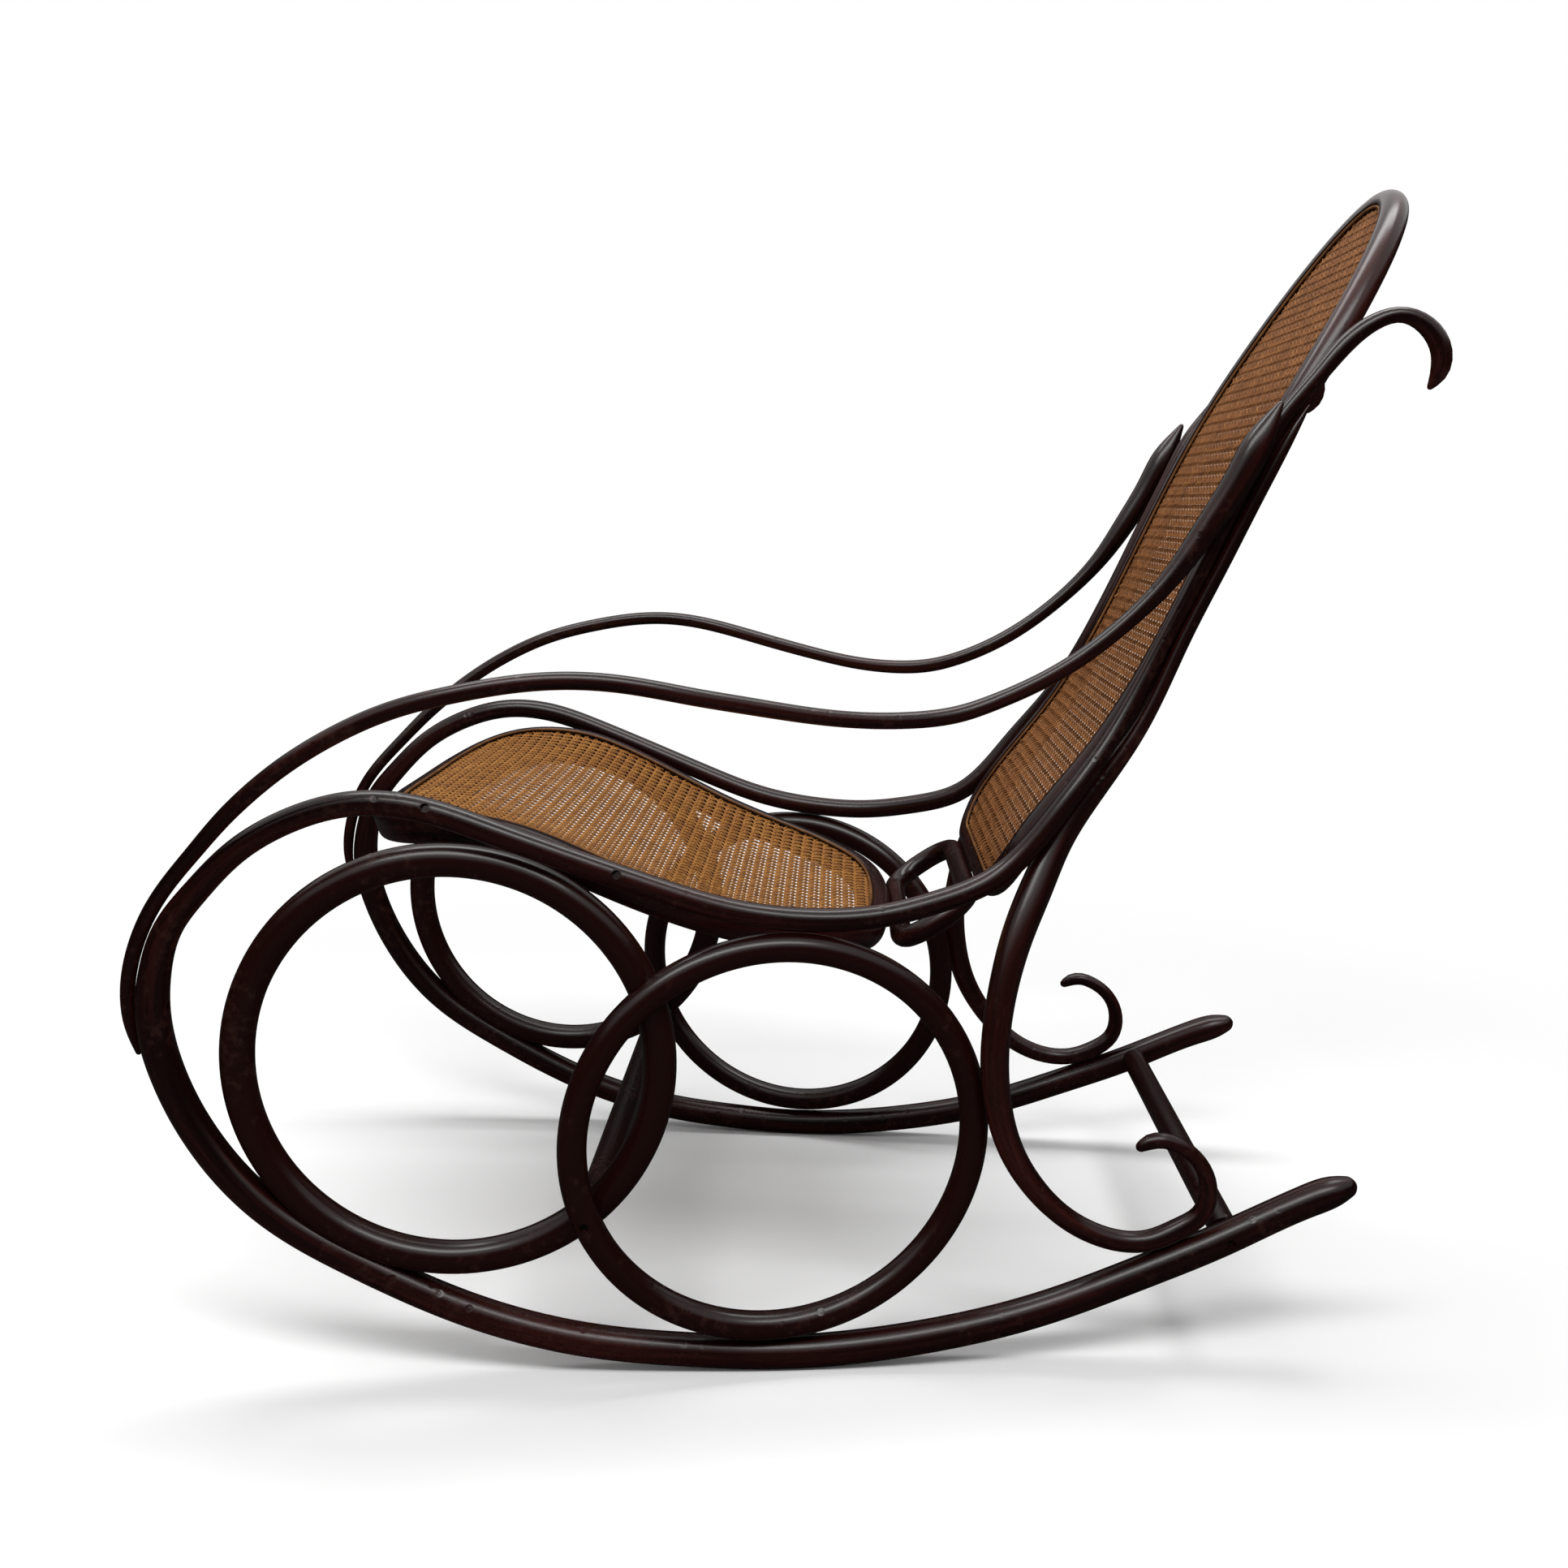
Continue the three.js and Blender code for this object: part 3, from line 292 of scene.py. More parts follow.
arm_hold_places = [(0.586, 1.02), (0.628, 0.99), (0.66, 0.52), (0.68, 0.16)]
rows = []
for up, thick in arm_foot_places:
    s = rail.where(2, up * chair_height, 0.2, 0.5)
    radius = thick * arm_rod / 2
    rows.append(row(beside_rail(s, rail.at(s)[0, 3] + radius + 2 * gap), 2 * radius))
rows += side_rows(arm_places, arm_beside, arm_inner_share, arm_rod)
rows += hoop_rows(arm_hold_places, arm_beside, arm_hold_rod)
arm = Route(rows)

leg_hold_places = [(0.697, 0.2), (0.657, 0.7), (0.576, 1), (0.485, 1), (0.394, 1)]
leg_foot_shares = (0.312, 0.335)
leg_places = [
    (0.512, 0.288, 0.5415, 0.56), (0.521, 0.2525, 0.4865, 0.84), (0.54, 0.2275, 0.447, 1.03),
    (0.585, 0.2095, 0.409, 1.17), (0.635, 0.1947, 0.3735, 1.13), (0.672, 0.1845, 0.337, 1.04),
    (0.698, 0.179, 0.305, 1), (0.715, 0.177, 0.2695, 1), (0.716, 0.18, 0.236, 0.98),
    (0.714, 0.192, 0.192, 0.9), (0.708, 0.207, 0.164, 0.84), (0.7, 0.223, 0.143, 0.8),
    (0.693, 0.245, 0.1235, 0.78),
]
scroll_places = [
    (0.683, 0.3425, 0.134, 0.7), (0.683, 0.347, 0.1555, 0.65), (0.684, 0.3415, 0.176, 0.57),
    (0.686, 0.333, 0.1875, 0.55), (0.688, 0.3205, 0.1965, 0.56), (0.69, 0.308, 0.2005, 0.57),
    (0.691, 0.2965, 0.1975, 0.5), (0.692, 0.2895, 0.192, 0.26),
]
rows = hoop_rows(leg_hold_places, leg_beside, leg_beside_rod)
rows += side_rows(leg_places, leg_beside, leg_inner_share, leg_rod)
for along in leg_foot_shares:
    s = rail.where(1, along * chair_length, 0, 0.2)
    rows.append(row(beside_rail(s, -(rail.at(s)[0, 3] + leg_foot_rod / 2 + 2 * gap)), leg_foot_rod))
rows += side_rows(scroll_places, leg_beside, leg_inner_share, leg_rod)
leg = Route(rows)
print("arm", round(arm.length, 3), "leg", round(leg.length, 3), "m")

# %% [markdown]
# ## Working on one piece at a time
# An operator acts on all that is selected. So each piece is picked alone first, and a part of
# its mesh is picked in edit mode by what kind of element it is.

# %% Selecting and editing
def clear_selection():
    if bpy.context.object and bpy.context.object.mode != "OBJECT":
        bpy.ops.object.mode_set(mode="OBJECT")
    bpy.ops.object.select_all(action="DESELECT")


def only(*pieces):
    clear_selection()
    for piece in pieces:
        piece.select_set(True)
    bpy.context.view_layer.objects.active = pieces[0]


def edit(piece, action="SELECT", kind="VERT"):
    only(piece)
    bpy.ops.object.mode_set(mode="EDIT")
    bpy.ops.mesh.select_mode(type=kind)
    bpy.ops.mesh.select_all(action=action)


def leave_edit():
    bpy.ops.mesh.select_mode(type="VERT")
    bpy.ops.object.mode_set(mode="OBJECT")


def edit_some(piece, kind, elements, chosen):
    edit(piece, "DESELECT", kind)
    bpy.ops.object.mode_set(mode="OBJECT")
    getattr(piece.data, elements).foreach_set("select", chosen)
    bpy.ops.object.mode_set(mode="EDIT")


def named(name):
    piece = bpy.context.object
    piece.name = piece.data.name = name
    return piece


def copy_of(piece, name):
    only(piece)
    bpy.ops.object.duplicate()
    return named(name)


def joined(pieces, name):
    only(*pieces)
    bpy.ops.object.join()
    return named(name)


def points_of(piece):
    flat = np.zeros(len(piece.data.vertices) * 3)
    piece.data.vertices.foreach_get("co", flat)
    return flat.reshape(-1, 3)


def set_points(piece, points):
    piece.data.vertices.foreach_set("co", np.asarray(points, float).ravel())
    piece.data.update()


def keep_vectors(piece, name, vectors):
    layer = piece.data.attributes.new(name, "FLOAT_VECTOR", "POINT")
    layer.data.foreach_set("vector", vectors.ravel())


def clean_mesh(piece, angle=math.radians(50), merge=1e-5):
    edit(piece)
    bpy.ops.mesh.remove_doubles(threshold=merge)
    bpy.ops.mesh.normals_make_consistent(inside=False)
    leave_edit()
    bpy.ops.object.shade_smooth_by_angle(angle=angle)


# %% [markdown]
# ## Bending a stick
# In Blender a bent round stick is a curve with a bevel: the curve is the middle line, the bevel
# gives the thickness, and each point's radius makes the taper. It is turned into a mesh when
# done. Each point of the mesh also keeps its place in the straight stick, from before it was
# bent, so the grain of the wood can follow the bend.

# %% Bent sticks
stick_step, bevel_steps, points_at_once = 0.006, 8, 2000
tip_rings, tip_share, least_tip, first_ring, least_round = 8, 0.9, 0.0022, 0.12, 0.02


def keep_stick_places(piece, middles, tangents, firsts, distances):
    points = points_of(piece)
    nearest = np.concatenate([
        np.argmin(((part[:, None, :] - middles[None]) ** 2).sum(2), axis=1)
        for part in np.array_split(points, max(1, len(points) // points_at_once))
    ])
    away = points - middles[nearest]
    seconds = np.cross(tangents, firsts)
    keep_vectors(piece, "stick", np.stack([
        distances[nearest] + (away * tangents[nearest]).sum(1),
        (away * firsts[nearest]).sum(1),
        (away * seconds[nearest]).sum(1),
    ], 1))


def bend_stick(name, middles, radii, closed=False):
    clear_selection()
    bpy.ops.curve.primitive_nurbs_path_add()
    curve = named(name).data
    curve.splines.clear()
    line = curve.splines.new("POLY")
    line.points.add(len(middles) - 1)
    line.points.foreach_set("co", np.c_[middles, np.ones(len(middles))].ravel())
    line.points.foreach_set("radius", np.asarray(radii, float))
    line.use_cyclic_u = closed
    curve.bevel_depth = 1.0
    curve.bevel_resolution = bevel_steps
    curve.use_fill_caps = not closed
    curve.twist_mode = "MINIMUM"
    bpy.ops.object.convert(target="MESH")
    piece = bpy.context.object
    clean_mesh(piece)
    return piece


def stick_along(name, route, extra=0.0, fullness=roundness):
    even = np.linspace(0, route.length, int(route.length / stick_step))
    reaches = [max(least_tip, tip_share * route.at(end)[0, 3]) for end in (0.0, route.length)]
    bends = 1 - np.cos(np.linspace(first_ring, 1, tip_rings) * math.pi / 2)
    distances = np.unique(np.concatenate([
        [0.0], reaches[0] * bends, even[(even > reaches[0]) & (even < route.length - reaches[1])],
        route.length - reaches[1] * bends, [route.length]]))
    places = route.at(distances)
    radii = places[:, 3] * fullness + extra
    for to_end, reach in ((distances, reaches[0]), (route.length - distances, reaches[1])):
        radii *= np.sqrt(np.clip(1 - (1 - np.clip(to_end / reach, 0, 1)) ** 2, least_round, 1))
    middles = places[:, :3] + to_floor
    piece = bend_stick(name, middles, radii)
    tangents = route.tangent(distances)
    keep_stick_places(piece, middles, tangents, upward(tangents), distances)
    return piece


# %% [markdown]
# ## Cutting and mirroring
# Lap joints and screw holes are cuts. Each one is a Boolean modifier, applied at once, and the
# cutter is thrown away afterwards. A mirrored shape is inside out, so its normals are worked
# out again.

# %% Cuts and mirror copies
def cut_with(piece, cutter):
    only(piece)
    change = piece.modifiers.new("cut", "BOOLEAN")
    change.operation = "DIFFERENCE"
    change.solver = "EXACT"
    change.object = cutter
    bpy.ops.object.modifier_apply(modifier=change.name)
    bpy.data.objects.remove(cutter)
    return piece


def mirrored_copy(piece, name):
    other = copy_of(piece, name)
    edit(other)
    bpy.ops.transform.mirror(
        orient_type="GLOBAL", constraint_axis=(True, False, False), center_override=(0, 0, 0))
    bpy.ops.mesh.normals_make_consistent(inside=False)
    leave_edit()
    return other


# %% [markdown]
# ## Side rails, arms and back legs
# The left ones are bent first. Under the rocker, all that would lie below the floor is cut off
# with the bisect operator, which leaves the small worn flat that the chair stands on.

# %% Left side frame
left_rail = stick_along("bent_rail_left", rail)
left_arm = stick_along("bent_arm_left", arm, fullness=arm_roundness)
left_leg = stick_along("bent_leg_left", leg)
edit(left_rail)
bpy.ops.mesh.bisect(plane_co=(0, 0, 0), plane_no=(0, 0, 1), use_fill=True, clear_inner=True, threshold=1e-6)
leave_edit()
print("left rail:", len(left_rail.data.polygons), "faces")

# %% [markdown]
# ## Rings
# Each side frame has two rings that cross, a thick one in front and a slimmer one behind it.
# A ring is the same kind of bevelled curve, closed on itself. The measured model says how wide
# and how high each stands, and both are turned a little, so one passes outside the other.

# %% Rings
ring_stations, ring_nudge = 144, 0.01


def ring_of(node, rod, turn_share, lean_share, side):
    low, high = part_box(node)
    reach = (high.y - low.y - rod) / 2
    return {
        "reach": reach, "radius": rod / 2, "turn": turn_share, "lean": lean_share, "side": side,
        "along": (low.y + high.y) / 2, "up": high.z - rod / 2 - reach,
    }


def ring_point(ring, angle):
    along, up = ring["reach"] * np.cos(angle), ring["reach"] * np.sin(angle)
    side = ring["side"] + ring["turn"] * along + ring["lean"] * up
    return np.stack([side, ring["along"] + along, ring["up"] + up], -1)


def side_of_rail(along_share):
    return rail.at(rail.where(1, along_share * chair_length, 0, 0.42))[0, 0]


def bend_ring(name, ring, extra=0.0):
    angles = np.linspace(0, 2 * math.pi, ring_stations, endpoint=False)
    middles = ring_point(ring, angles)
    radii = np.full(ring_stations, ring["radius"] * roundness + extra)
    piece = bend_stick(name, middles, radii, closed=True)
    tangents = unit(ring_point(ring, angles + ring_nudge) - ring_point(ring, angles - ring_nudge))
    outward = middles - [ring["side"], ring["along"], ring["up"]]
    outward -= tangents * (outward * tangents).sum(1)[:, None]
    keep_stick_places(piece, middles, tangents, unit(outward), angles * ring["reach"])
    return piece


front_ring = ring_of("front_ring_left", front_ring_rod, -0.07, 0.0, side_of_rail(-0.2355))
rear_ring = ring_of("rear_ring_left", rear_ring_rod, -0.215, -0.012, side_of_rail(0.0108) + 0.001)
left_front_ring = bend_ring("bent_front_ring_left", front_ring)
left_rear_ring = bend_ring("bent_rear_ring_left", rear_ring)
cut_with(left_front_ring, bend_ring("ring_cutter", rear_ring, gap))
cut_with(left_front_ring, stick_along("rail_cutter", rail, extra=gap))
for ring in (front_ring, rear_ring):
    print("ring", {key: round(float(value), 4) for key, value in ring.items()})

# %% [markdown]
# ## Stretchers
# Two straight turned bars hold the side frames apart. Their ends are hollowed to sit against
# the ring and the rocker, so each bar is cut by a slightly thicker copy of what it meets.

# %% Stretchers
bar_stations, bar_reach_share, stretcher_along = 60, 0.75, 0.365


def crossing(first, second):
    apart = np.array([second["along"] - first["along"], second["up"] - first["up"]])
    distance = np.linalg.norm(apart)
    cosine = (distance**2 + first["reach"] ** 2 - second["reach"] ** 2) / (2 * distance * first["reach"])
    return ring_point(first, np.array(math.atan2(apart[1], apart[0]) - math.acos(cosine)))


def straight_bar(name, end, radius, end_radius, cutter):
    reach = end[0] - bar_reach_share * end_radius
    sides = np.linspace(-reach, reach, bar_stations)
    middles = np.c_[sides, np.full(bar_stations, end[1]), np.full(bar_stations, end[2])]
    piece = bend_stick(name, middles, np.full(bar_stations, radius * roundness))
    across, upright = (np.tile(way, (bar_stations, 1)) for way in ([1.0, 0.0, 0.0], [0.0, 0.0, 1.0]))
    keep_stick_places(piece, middles, across, upright, sides + 1)
    cut_with(piece, mirrored_copy(cutter, "cutter_right"))
    return cut_with(piece, cutter)


lower_crossing = crossing(front_ring, rear_ring)
stretcher_seat = rail.at(rail.where(1, stretcher_along * chair_length, 0, 0.2))[0, :3] + to_floor
front_bar = straight_bar(
    "turned_front_stretcher", lower_crossing, front_stretcher_rod / 2, front_ring["radius"],
    bend_ring("ring_cutter", front_ring, gap),
)
rear_bar = straight_bar(
    "turned_rear_stretcher", stretcher_seat, rear_stretcher_rod / 2, rocker_rod / 2,
    stick_along("rail_cutter", rail, extra=gap),
)
print("stretchers at", np.round(lower_crossing, 4), np.round(stretcher_seat, 4))

# %% [markdown]
# ## Outlines of the hoop, the seat frame and the connecting loop
# Each of these is one stick bent into a closed shape. Its outline is drawn flat, as width and
# run along the sheet, from arcs or from a smooth curve through marked places.

# %% Outlines
hoop_stations, seat_stations, loop_stations, arch_points, curve_points = 300, 280, 150, 160, 24


def even_outline(path, count):
    closed = np.vstack([path, path[:1]])
    run = np.concatenate([[0.0], np.cumsum(np.linalg.norm(np.diff(closed, axis=0), axis=1))])
    goals = (np.arange(count) + 0.5) / count * run[-1]
    return np.c_[np.interp(goals, run, closed[:, 0]), np.interp(goals, run, closed[:, 1])], run[-1]


def arc(centre, radii, start, stop, count=40):
    angle = np.radians(np.linspace(start, stop, count))
    return np.c_[centre[0] + radii[0] * np.cos(angle), centre[1] + radii[1] * np.sin(angle)]


def inset(outline, amount):
    change = unit(np.roll(outline, -1, axis=0) - np.roll(outline, 1, axis=0))
    return outline + amount * np.c_[-change[:, 1], change[:, 0]]


def hoop_outline():
    shoulder = back_sheet.length - hoop_top_gap - hoop_arch
    flat = hoop_half_width - hoop_corner
    path = np.vstack([
        [[0.0, 0.0]],
        arc((flat, hoop_corner), (hoop_corner, hoop_corner), -90, 0),
        arc((0, shoulder), (hoop_half_width, hoop_arch), 0, 180, arch_points),
        arc((-flat, hoop_corner), (hoop_corner, hoop_corner), 180, 270),
    ])
    return even_outline(path, hoop_stations)


def loop_outline(depth):
    far, round_end = loop_half_width - loop_corner, (loop_corner, loop_corner)
    path = np.vstack([
        [[0.0, 0.0]],
        arc((far, loop_corner), round_end, -90, 0),
        arc((far, depth - loop_corner), round_end, 0, 90),
        arc((-far, depth - loop_corner), round_end, 90, 180),
        arc((-far, loop_corner), round_end, 180, 270),
    ])
    return even_outline(path, loop_stations)


seat_outline_shares = [
    (0, 0), (0.45, 0.003), (0.75, 0.03), (0.93, 0.1), (1, 0.22), (0.985, 0.36),
    (0.955, 0.5), (0.9, 0.63), (0.825, 0.76), (0.7, 0.88), (0.48, 0.97), (0, 1),
]


def seat_outline():
    half = np.array(seat_outline_shares) * [seat_half_width, seat_sheet.length]
    knots = np.vstack([half, half[-2:0:-1] * [-1, 1]])
    pieces = []
    for i in range(len(knots)):
        a, b, c, d = (knots[(i + k) % len(knots)] for k in (-1, 0, 1, 2))
        t0, t1, t2 = (np.linalg.norm(q - p) ** 0.5 for p, q in ((a, b), (b, c), (c, d)))
        start = ((b - a) / t0 - (c - a) / (t0 + t1) + (c - b) / t1) * t1
        stop = ((c - b) / t1 - (d - b) / (t1 + t2) + (d - c) / t2) * t1
        u = np.linspace(0, 1, curve_points, endpoint=False)[:, None]
        pieces.append((2 * u**3 - 3 * u**2 + 1) * b + (u**3 - 2 * u**2 + u) * start
                      + (3 * u**2 - 2 * u**3) * c + (u**3 - u**2) * stop)
    return even_outline(np.vstack(pieces), seat_stations)


hoop_rim, hoop_round = hoop_outline()
seat_rim, seat_round = seat_outline()
print("hoop round", round(hoop_round, 3), "m, seat frame round", round(seat_round, 3), "m")

# %% [markdown]
# ## A closed frame from a ring
# The ring of the Add menu is a closed grid of faces, so each of its points is moved to its
# place: the way round gives the place on the outline, and the way round the thickness gives the
# place on the section.

# %% Closed frames
ring_tube = 0.25


def closed_frame(name, to_place, outline, around, section, angle=math.radians(50)):
    stations, sides = len(outline), len(section)
    clear_selection()
    bpy.ops.mesh.primitive_torus_add(
        major_segments=stations, minor_segments=sides, major_radius=1.0, minor_radius=ring_tube)
    piece = named(name)
    points = points_of(piece)
    turn = np.arctan2(points[:, 1], points[:, 0]) / (2 * math.pi)
    station = np.rint(turn * stations).astype(int) % stations
    out = np.hypot(points[:, 0], points[:, 1]) - 1
    side = np.rint(np.arctan2(points[:, 2], out) / (2 * math.pi) * sides).astype(int) % sides
    chosen = np.stack([inset(outline, inward) for inward, _ in section])[side, station]
    set_points(piece, to_place(chosen[:, 0], chosen[:, 1], section[side, 1]) + to_floor)
    keep_vectors(piece, "stick", np.c_[station / stations * around, section[side]])
    clean_mesh(piece, angle, merge=1e-6)
    return piece


def oval_section(centre, radii, sides):
    return arc(centre, radii, 0, 360 - 360 / sides, sides)


# %% [markdown]
# ## The hoop, the seat frame and the loop
# The hoop's section is a circle with a step cut from its inner half, and the seat frame's is a
# rounded bar with a deeper step. The cane sits on these steps. The loop is plain and round.

# %% Hoop and seat frame
ledge_share, corner_share, lip_round, step_back = 0.3, 0.3, 0.0015, 0.001
hoop_radius = hoop_rod / 2 * roundness
ledge, wall = ledge_share * hoop_rod / 2, (hoop_rod - hoop_rebate) / 2
first = math.degrees(math.acos(wall / hoop_radius))
last = 360 + math.degrees(math.asin(ledge / hoop_radius))
crease = math.radians(40)
hoop_section = np.vstack([
    arc((0, 0), (hoop_radius, hoop_radius), first, last, 26),
    [((wall + hoop_radius) / 2, ledge), (wall, ledge)],
])
hoop = closed_frame("bent_hoop", back_sheet.at, hoop_rim, hoop_round, hoop_section, crease)

corner = corner_share * seat_frame_height
step_depth = cane_thickness + spline_rod + 2 * gap
inner_wall = seat_frame_width - seat_rebate
seat_section = np.vstack([
    arc((corner, -corner), (corner, corner), 180, 90, 6),
    arc((inner_wall - lip_round, -lip_round), (lip_round, lip_round), 90, 0, 4),
    [(inner_wall, -step_depth), (seat_frame_width - step_back, -step_depth)],
    arc((seat_frame_width - corner, corner - seat_frame_height), (corner, corner), 0, -90, 6),
    arc((corner, corner - seat_frame_height), (corner, corner), -90, -180, 6),
])
seat_frame = closed_frame("bent_seat_frame", seat_sheet.at, seat_rim, seat_round, seat_section, crease)
print("hoop", len(hoop.data.polygons), "seat frame", len(seat_frame.data.polygons), "faces")

# %% [markdown]
# The connecting loop lies between the back edge of the seat frame and the foot of the hoop. Its
# flat outline is laid in the slanting plane from the one to the other.

# %% Connecting loop
loop_front = seat_sheet.at(0.0, seat_sheet.length + loop_rod / 2 + gap, -seat_frame_height / 2)
loop_way = back_sheet.at(0.0, 0.0, 0.0) - loop_front
loop_depth = float(np.linalg.norm(loop_way)) - (loop_rod + hoop_rod) / 2 - gap
loop_way = unit(loop_way)
loop_lift = np.cross([1.0, 0.0, 0.0], loop_way)
loop_radius = loop_rod / 2 * roundness


def loop_place(side, run, lift):
    point = loop_front + np.outer(run, loop_way) + np.outer(lift, loop_lift)
    point[:, 0] = side
    return point


loop_rim, loop_round = loop_outline(loop_depth)
loop_section = oval_section((0, 0), (loop_radius, loop_radius), 18)
loop = closed_frame("bent_loop", loop_place, loop_rim, loop_round, loop_section)
print("loop", round(loop_depth, 4), "m deep")

# %% [markdown]
# ## Cane splines
# After the cane is pressed into its groove, a thin strip of cane is glued over it all round.
# Each strip is a slim rod with a slightly flattened top.

# %% Splines
spline_half, spline_flatness, spline_sides = spline_rod / 2 - gap / 2, 0.85, 10
spline_radii = (spline_half, spline_flatness * spline_half)
back_spline_at = (wall + spline_rod / 2 + gap, ledge + gap + cane_thickness + gap + spline_rod / 2)
seat_spline_at = (inner_wall + spline_rod / 2 + gap, 3 * gap - step_depth + cane_thickness + spline_rod / 2)
back_spline = closed_frame("back_spline_strip", back_sheet.at, hoop_rim, hoop_round,
                           oval_section(back_spline_at, spline_radii, spline_sides))
seat_spline = closed_frame("seat_spline_strip", seat_sheet.at, seat_rim, seat_round,
                           oval_section(seat_spline_at, spline_radii, spline_sides))
print("spline lifts", round(back_spline_at[1], 4), round(seat_spline_at[1], 4), "m")

# %% [markdown]
# ## One strand of cane
# Six runs of split cane make the eight-sided holes: two side by side from front to rear, two
# side by side across, and one in each slanting direction. One short length of strand is made
# from a three-sided rod, flat underneath and crowned on top. Array modifiers repeat it along
# and beside itself, which makes a whole flat web of strands in one direction.

# %% Strands
hole_spacing, pair_half = 0.0108, 0.00118
pair_width, slant_width, strand_thickness = 0.0021, 0.0021, 0.00064
pair_stops = np.array([-0.5, -0.24, -0.1065, 0.1065, 0.24, 0.5])
slant_stops = np.array([-0.5, -0.32, -0.25, -0.18, 0.0, 0.18, 0.25, 0.32, 0.5])
rod_width, rod_height = 1.732, 1.5


def strand_length(name, width, period, stops):
    clear_selection()
    bpy.ops.mesh.primitive_cylinder_add(
        vertices=3, radius=1, depth=1, end_fill_type="NOTHING",
        rotation=(math.pi / 2, 0, math.pi / 2), scale=(width / rod_width, strand_thickness / rod_height, 1))
    piece = named(name)
    bpy.ops.object.transform_apply(location=True, rotation=True, scale=True)
    along = points_of(piece)[:, 0]
    ends = np.array([list(edge.vertices) for edge in piece.data.edges])
    edit_some(piece, "EDGE", "edges", np.abs(along[ends[:, 0]] - along[ends[:, 1]]) > 0.5)
    bpy.ops.mesh.subdivide(number_cuts=len(stops) - 2)
    leave_edit()
    points = points_of(piece)
    points[:, 0] = np.interp(points[:, 0], np.linspace(-0.5, 0.5, len(stops)), stops) * period
    set_points(piece, points)
    return piece


def repeat(piece, count, step):
    change = piece.modifiers.new("repeat", "ARRAY")
    change.use_relative_offset = False
    change.use_constant_offset = True
    change.constant_offset_displace = step
    change.count = count
    change.use_merge_vertices = step[0] > 0
    change.merge_threshold = 1e-6
    bpy.ops.object.modifier_apply(modifier=change.name)


def strand_web(name, width, period, stops, spacing, reach):
    lengths, lines = (int(math.ceil(2 * reach / step)) + 1 for step in (period, spacing))
    piece = strand_length(name, width, period, stops)
    repeat(piece, lengths, (period, 0, 0))
    repeat(piece, lines, (0, spacing, 0))
    points = points_of(piece)
    line = np.rint(points[:, 1] / spacing)
    across = points[:, 1] - line * spacing
    return piece, points[:, 0] - (lengths - 1) // 2 * period, across, points[:, 2], line - (lines - 1) // 2


# %% [markdown]
# ## The bed that the cane lies in
# A flat web is laid on the curved sheet, where a used seat has sunk a little in the middle. It
# reaches past the frame on all sides, and every face beyond the groove is deleted. The groove is
# simple enough that its distance from the middle in each direction says it all.

# %% Cane bed
sag_power = 3


class CaneBed:
    def __init__(self, sheet, groove, lift, sag, bulk, reach):
        self.sheet, self.lift, self.sag, self.bulk, self.reach = sheet, lift, sag, bulk, reach
        self.middle = sheet.length / 2
        away = groove - [0, self.middle]
        angles, distances = np.arctan2(away[:, 1], away[:, 0]), np.hypot(*away.T)
        order = np.argsort(angles)
        angles, distances = angles[order], distances[order]
        self.angles = np.r_[angles[-1] - 2 * math.pi, angles, angles[0] + 2 * math.pi]
        self.distances = np.r_[distances[-1], distances, distances[0]]

    def lay(self, piece, u, v, height, strand_places):
        share = np.hypot(u, v) / np.interp(np.arctan2(v, u), self.angles, self.distances)
        lift = self.lift + self.bulk * height - self.sag * np.clip(1 - share**sag_power, 0, None)
        set_points(piece, self.sheet.at(u, v + self.middle, lift) + to_floor)
        keep_vectors(piece, "strand", strand_places)
        corners = np.zeros(len(piece.data.loops), int)
        piece.data.loops.foreach_get("vertex_index", corners)
        starts = np.zeros(len(piece.data.polygons), int)
        piece.data.polygons.foreach_get("loop_start", starts)
        edit_some(piece, "FACE", "polygons", np.maximum.reduceat((share > 1)[corners], starts))
        bpy.ops.mesh.delete(type="FACE")
        leave_edit()
        return piece


groove_depth = 0.0011
seat_bed = CaneBed(seat_sheet, inset(seat_rim, inner_wall + groove_depth),
                   2 * gap - step_depth + cane_thickness / 2, sag=0.0125, bulk=1.07, reach=0.27)
back_bed = CaneBed(back_sheet, inset(hoop_rim, wall + groove_depth),
                   ledge + gap + cane_thickness / 2, sag=0.0, bulk=1.22, reach=0.36)
print("cane beds", round(seat_bed.lift, 4), round(back_bed.lift, 4), "m off their sheets")

# %% [markdown]
# ## Weaving
# Each point rises or dips where its strand passes over or under another: one of a pair goes
# over while the other goes under, and the slanting strands swap sides between the pairs. Each
# point also keeps how far along, how far across and in which strand it lies.

# %% Woven cane
pair_rise, slant_rise, crossing_sharpness = 0.00037, 0.00078, 2.2
second_strand, straight_family, slant_family = 0.37, 11.3, 23.7
slant_reach = 1.15


def turned(along, sideways, turn):
    return (along * math.cos(turn) - sideways * math.sin(turn),
            along * math.sin(turn) + sideways * math.cos(turn))


def pair_height(along):
    wave = along - np.round(along / hole_spacing) * hole_spacing
    return np.where(np.abs(wave) < 2 * pair_half, pair_rise * np.sin(math.pi * wave / (2 * pair_half)), 0.0)


def slant_height(u, v):
    over = (np.cos(2 * math.pi * u / hole_spacing) - np.cos(2 * math.pi * v / hole_spacing)) / 2
    return slant_rise * np.tanh(crossing_sharpness * over) / math.tanh(crossing_sharpness)


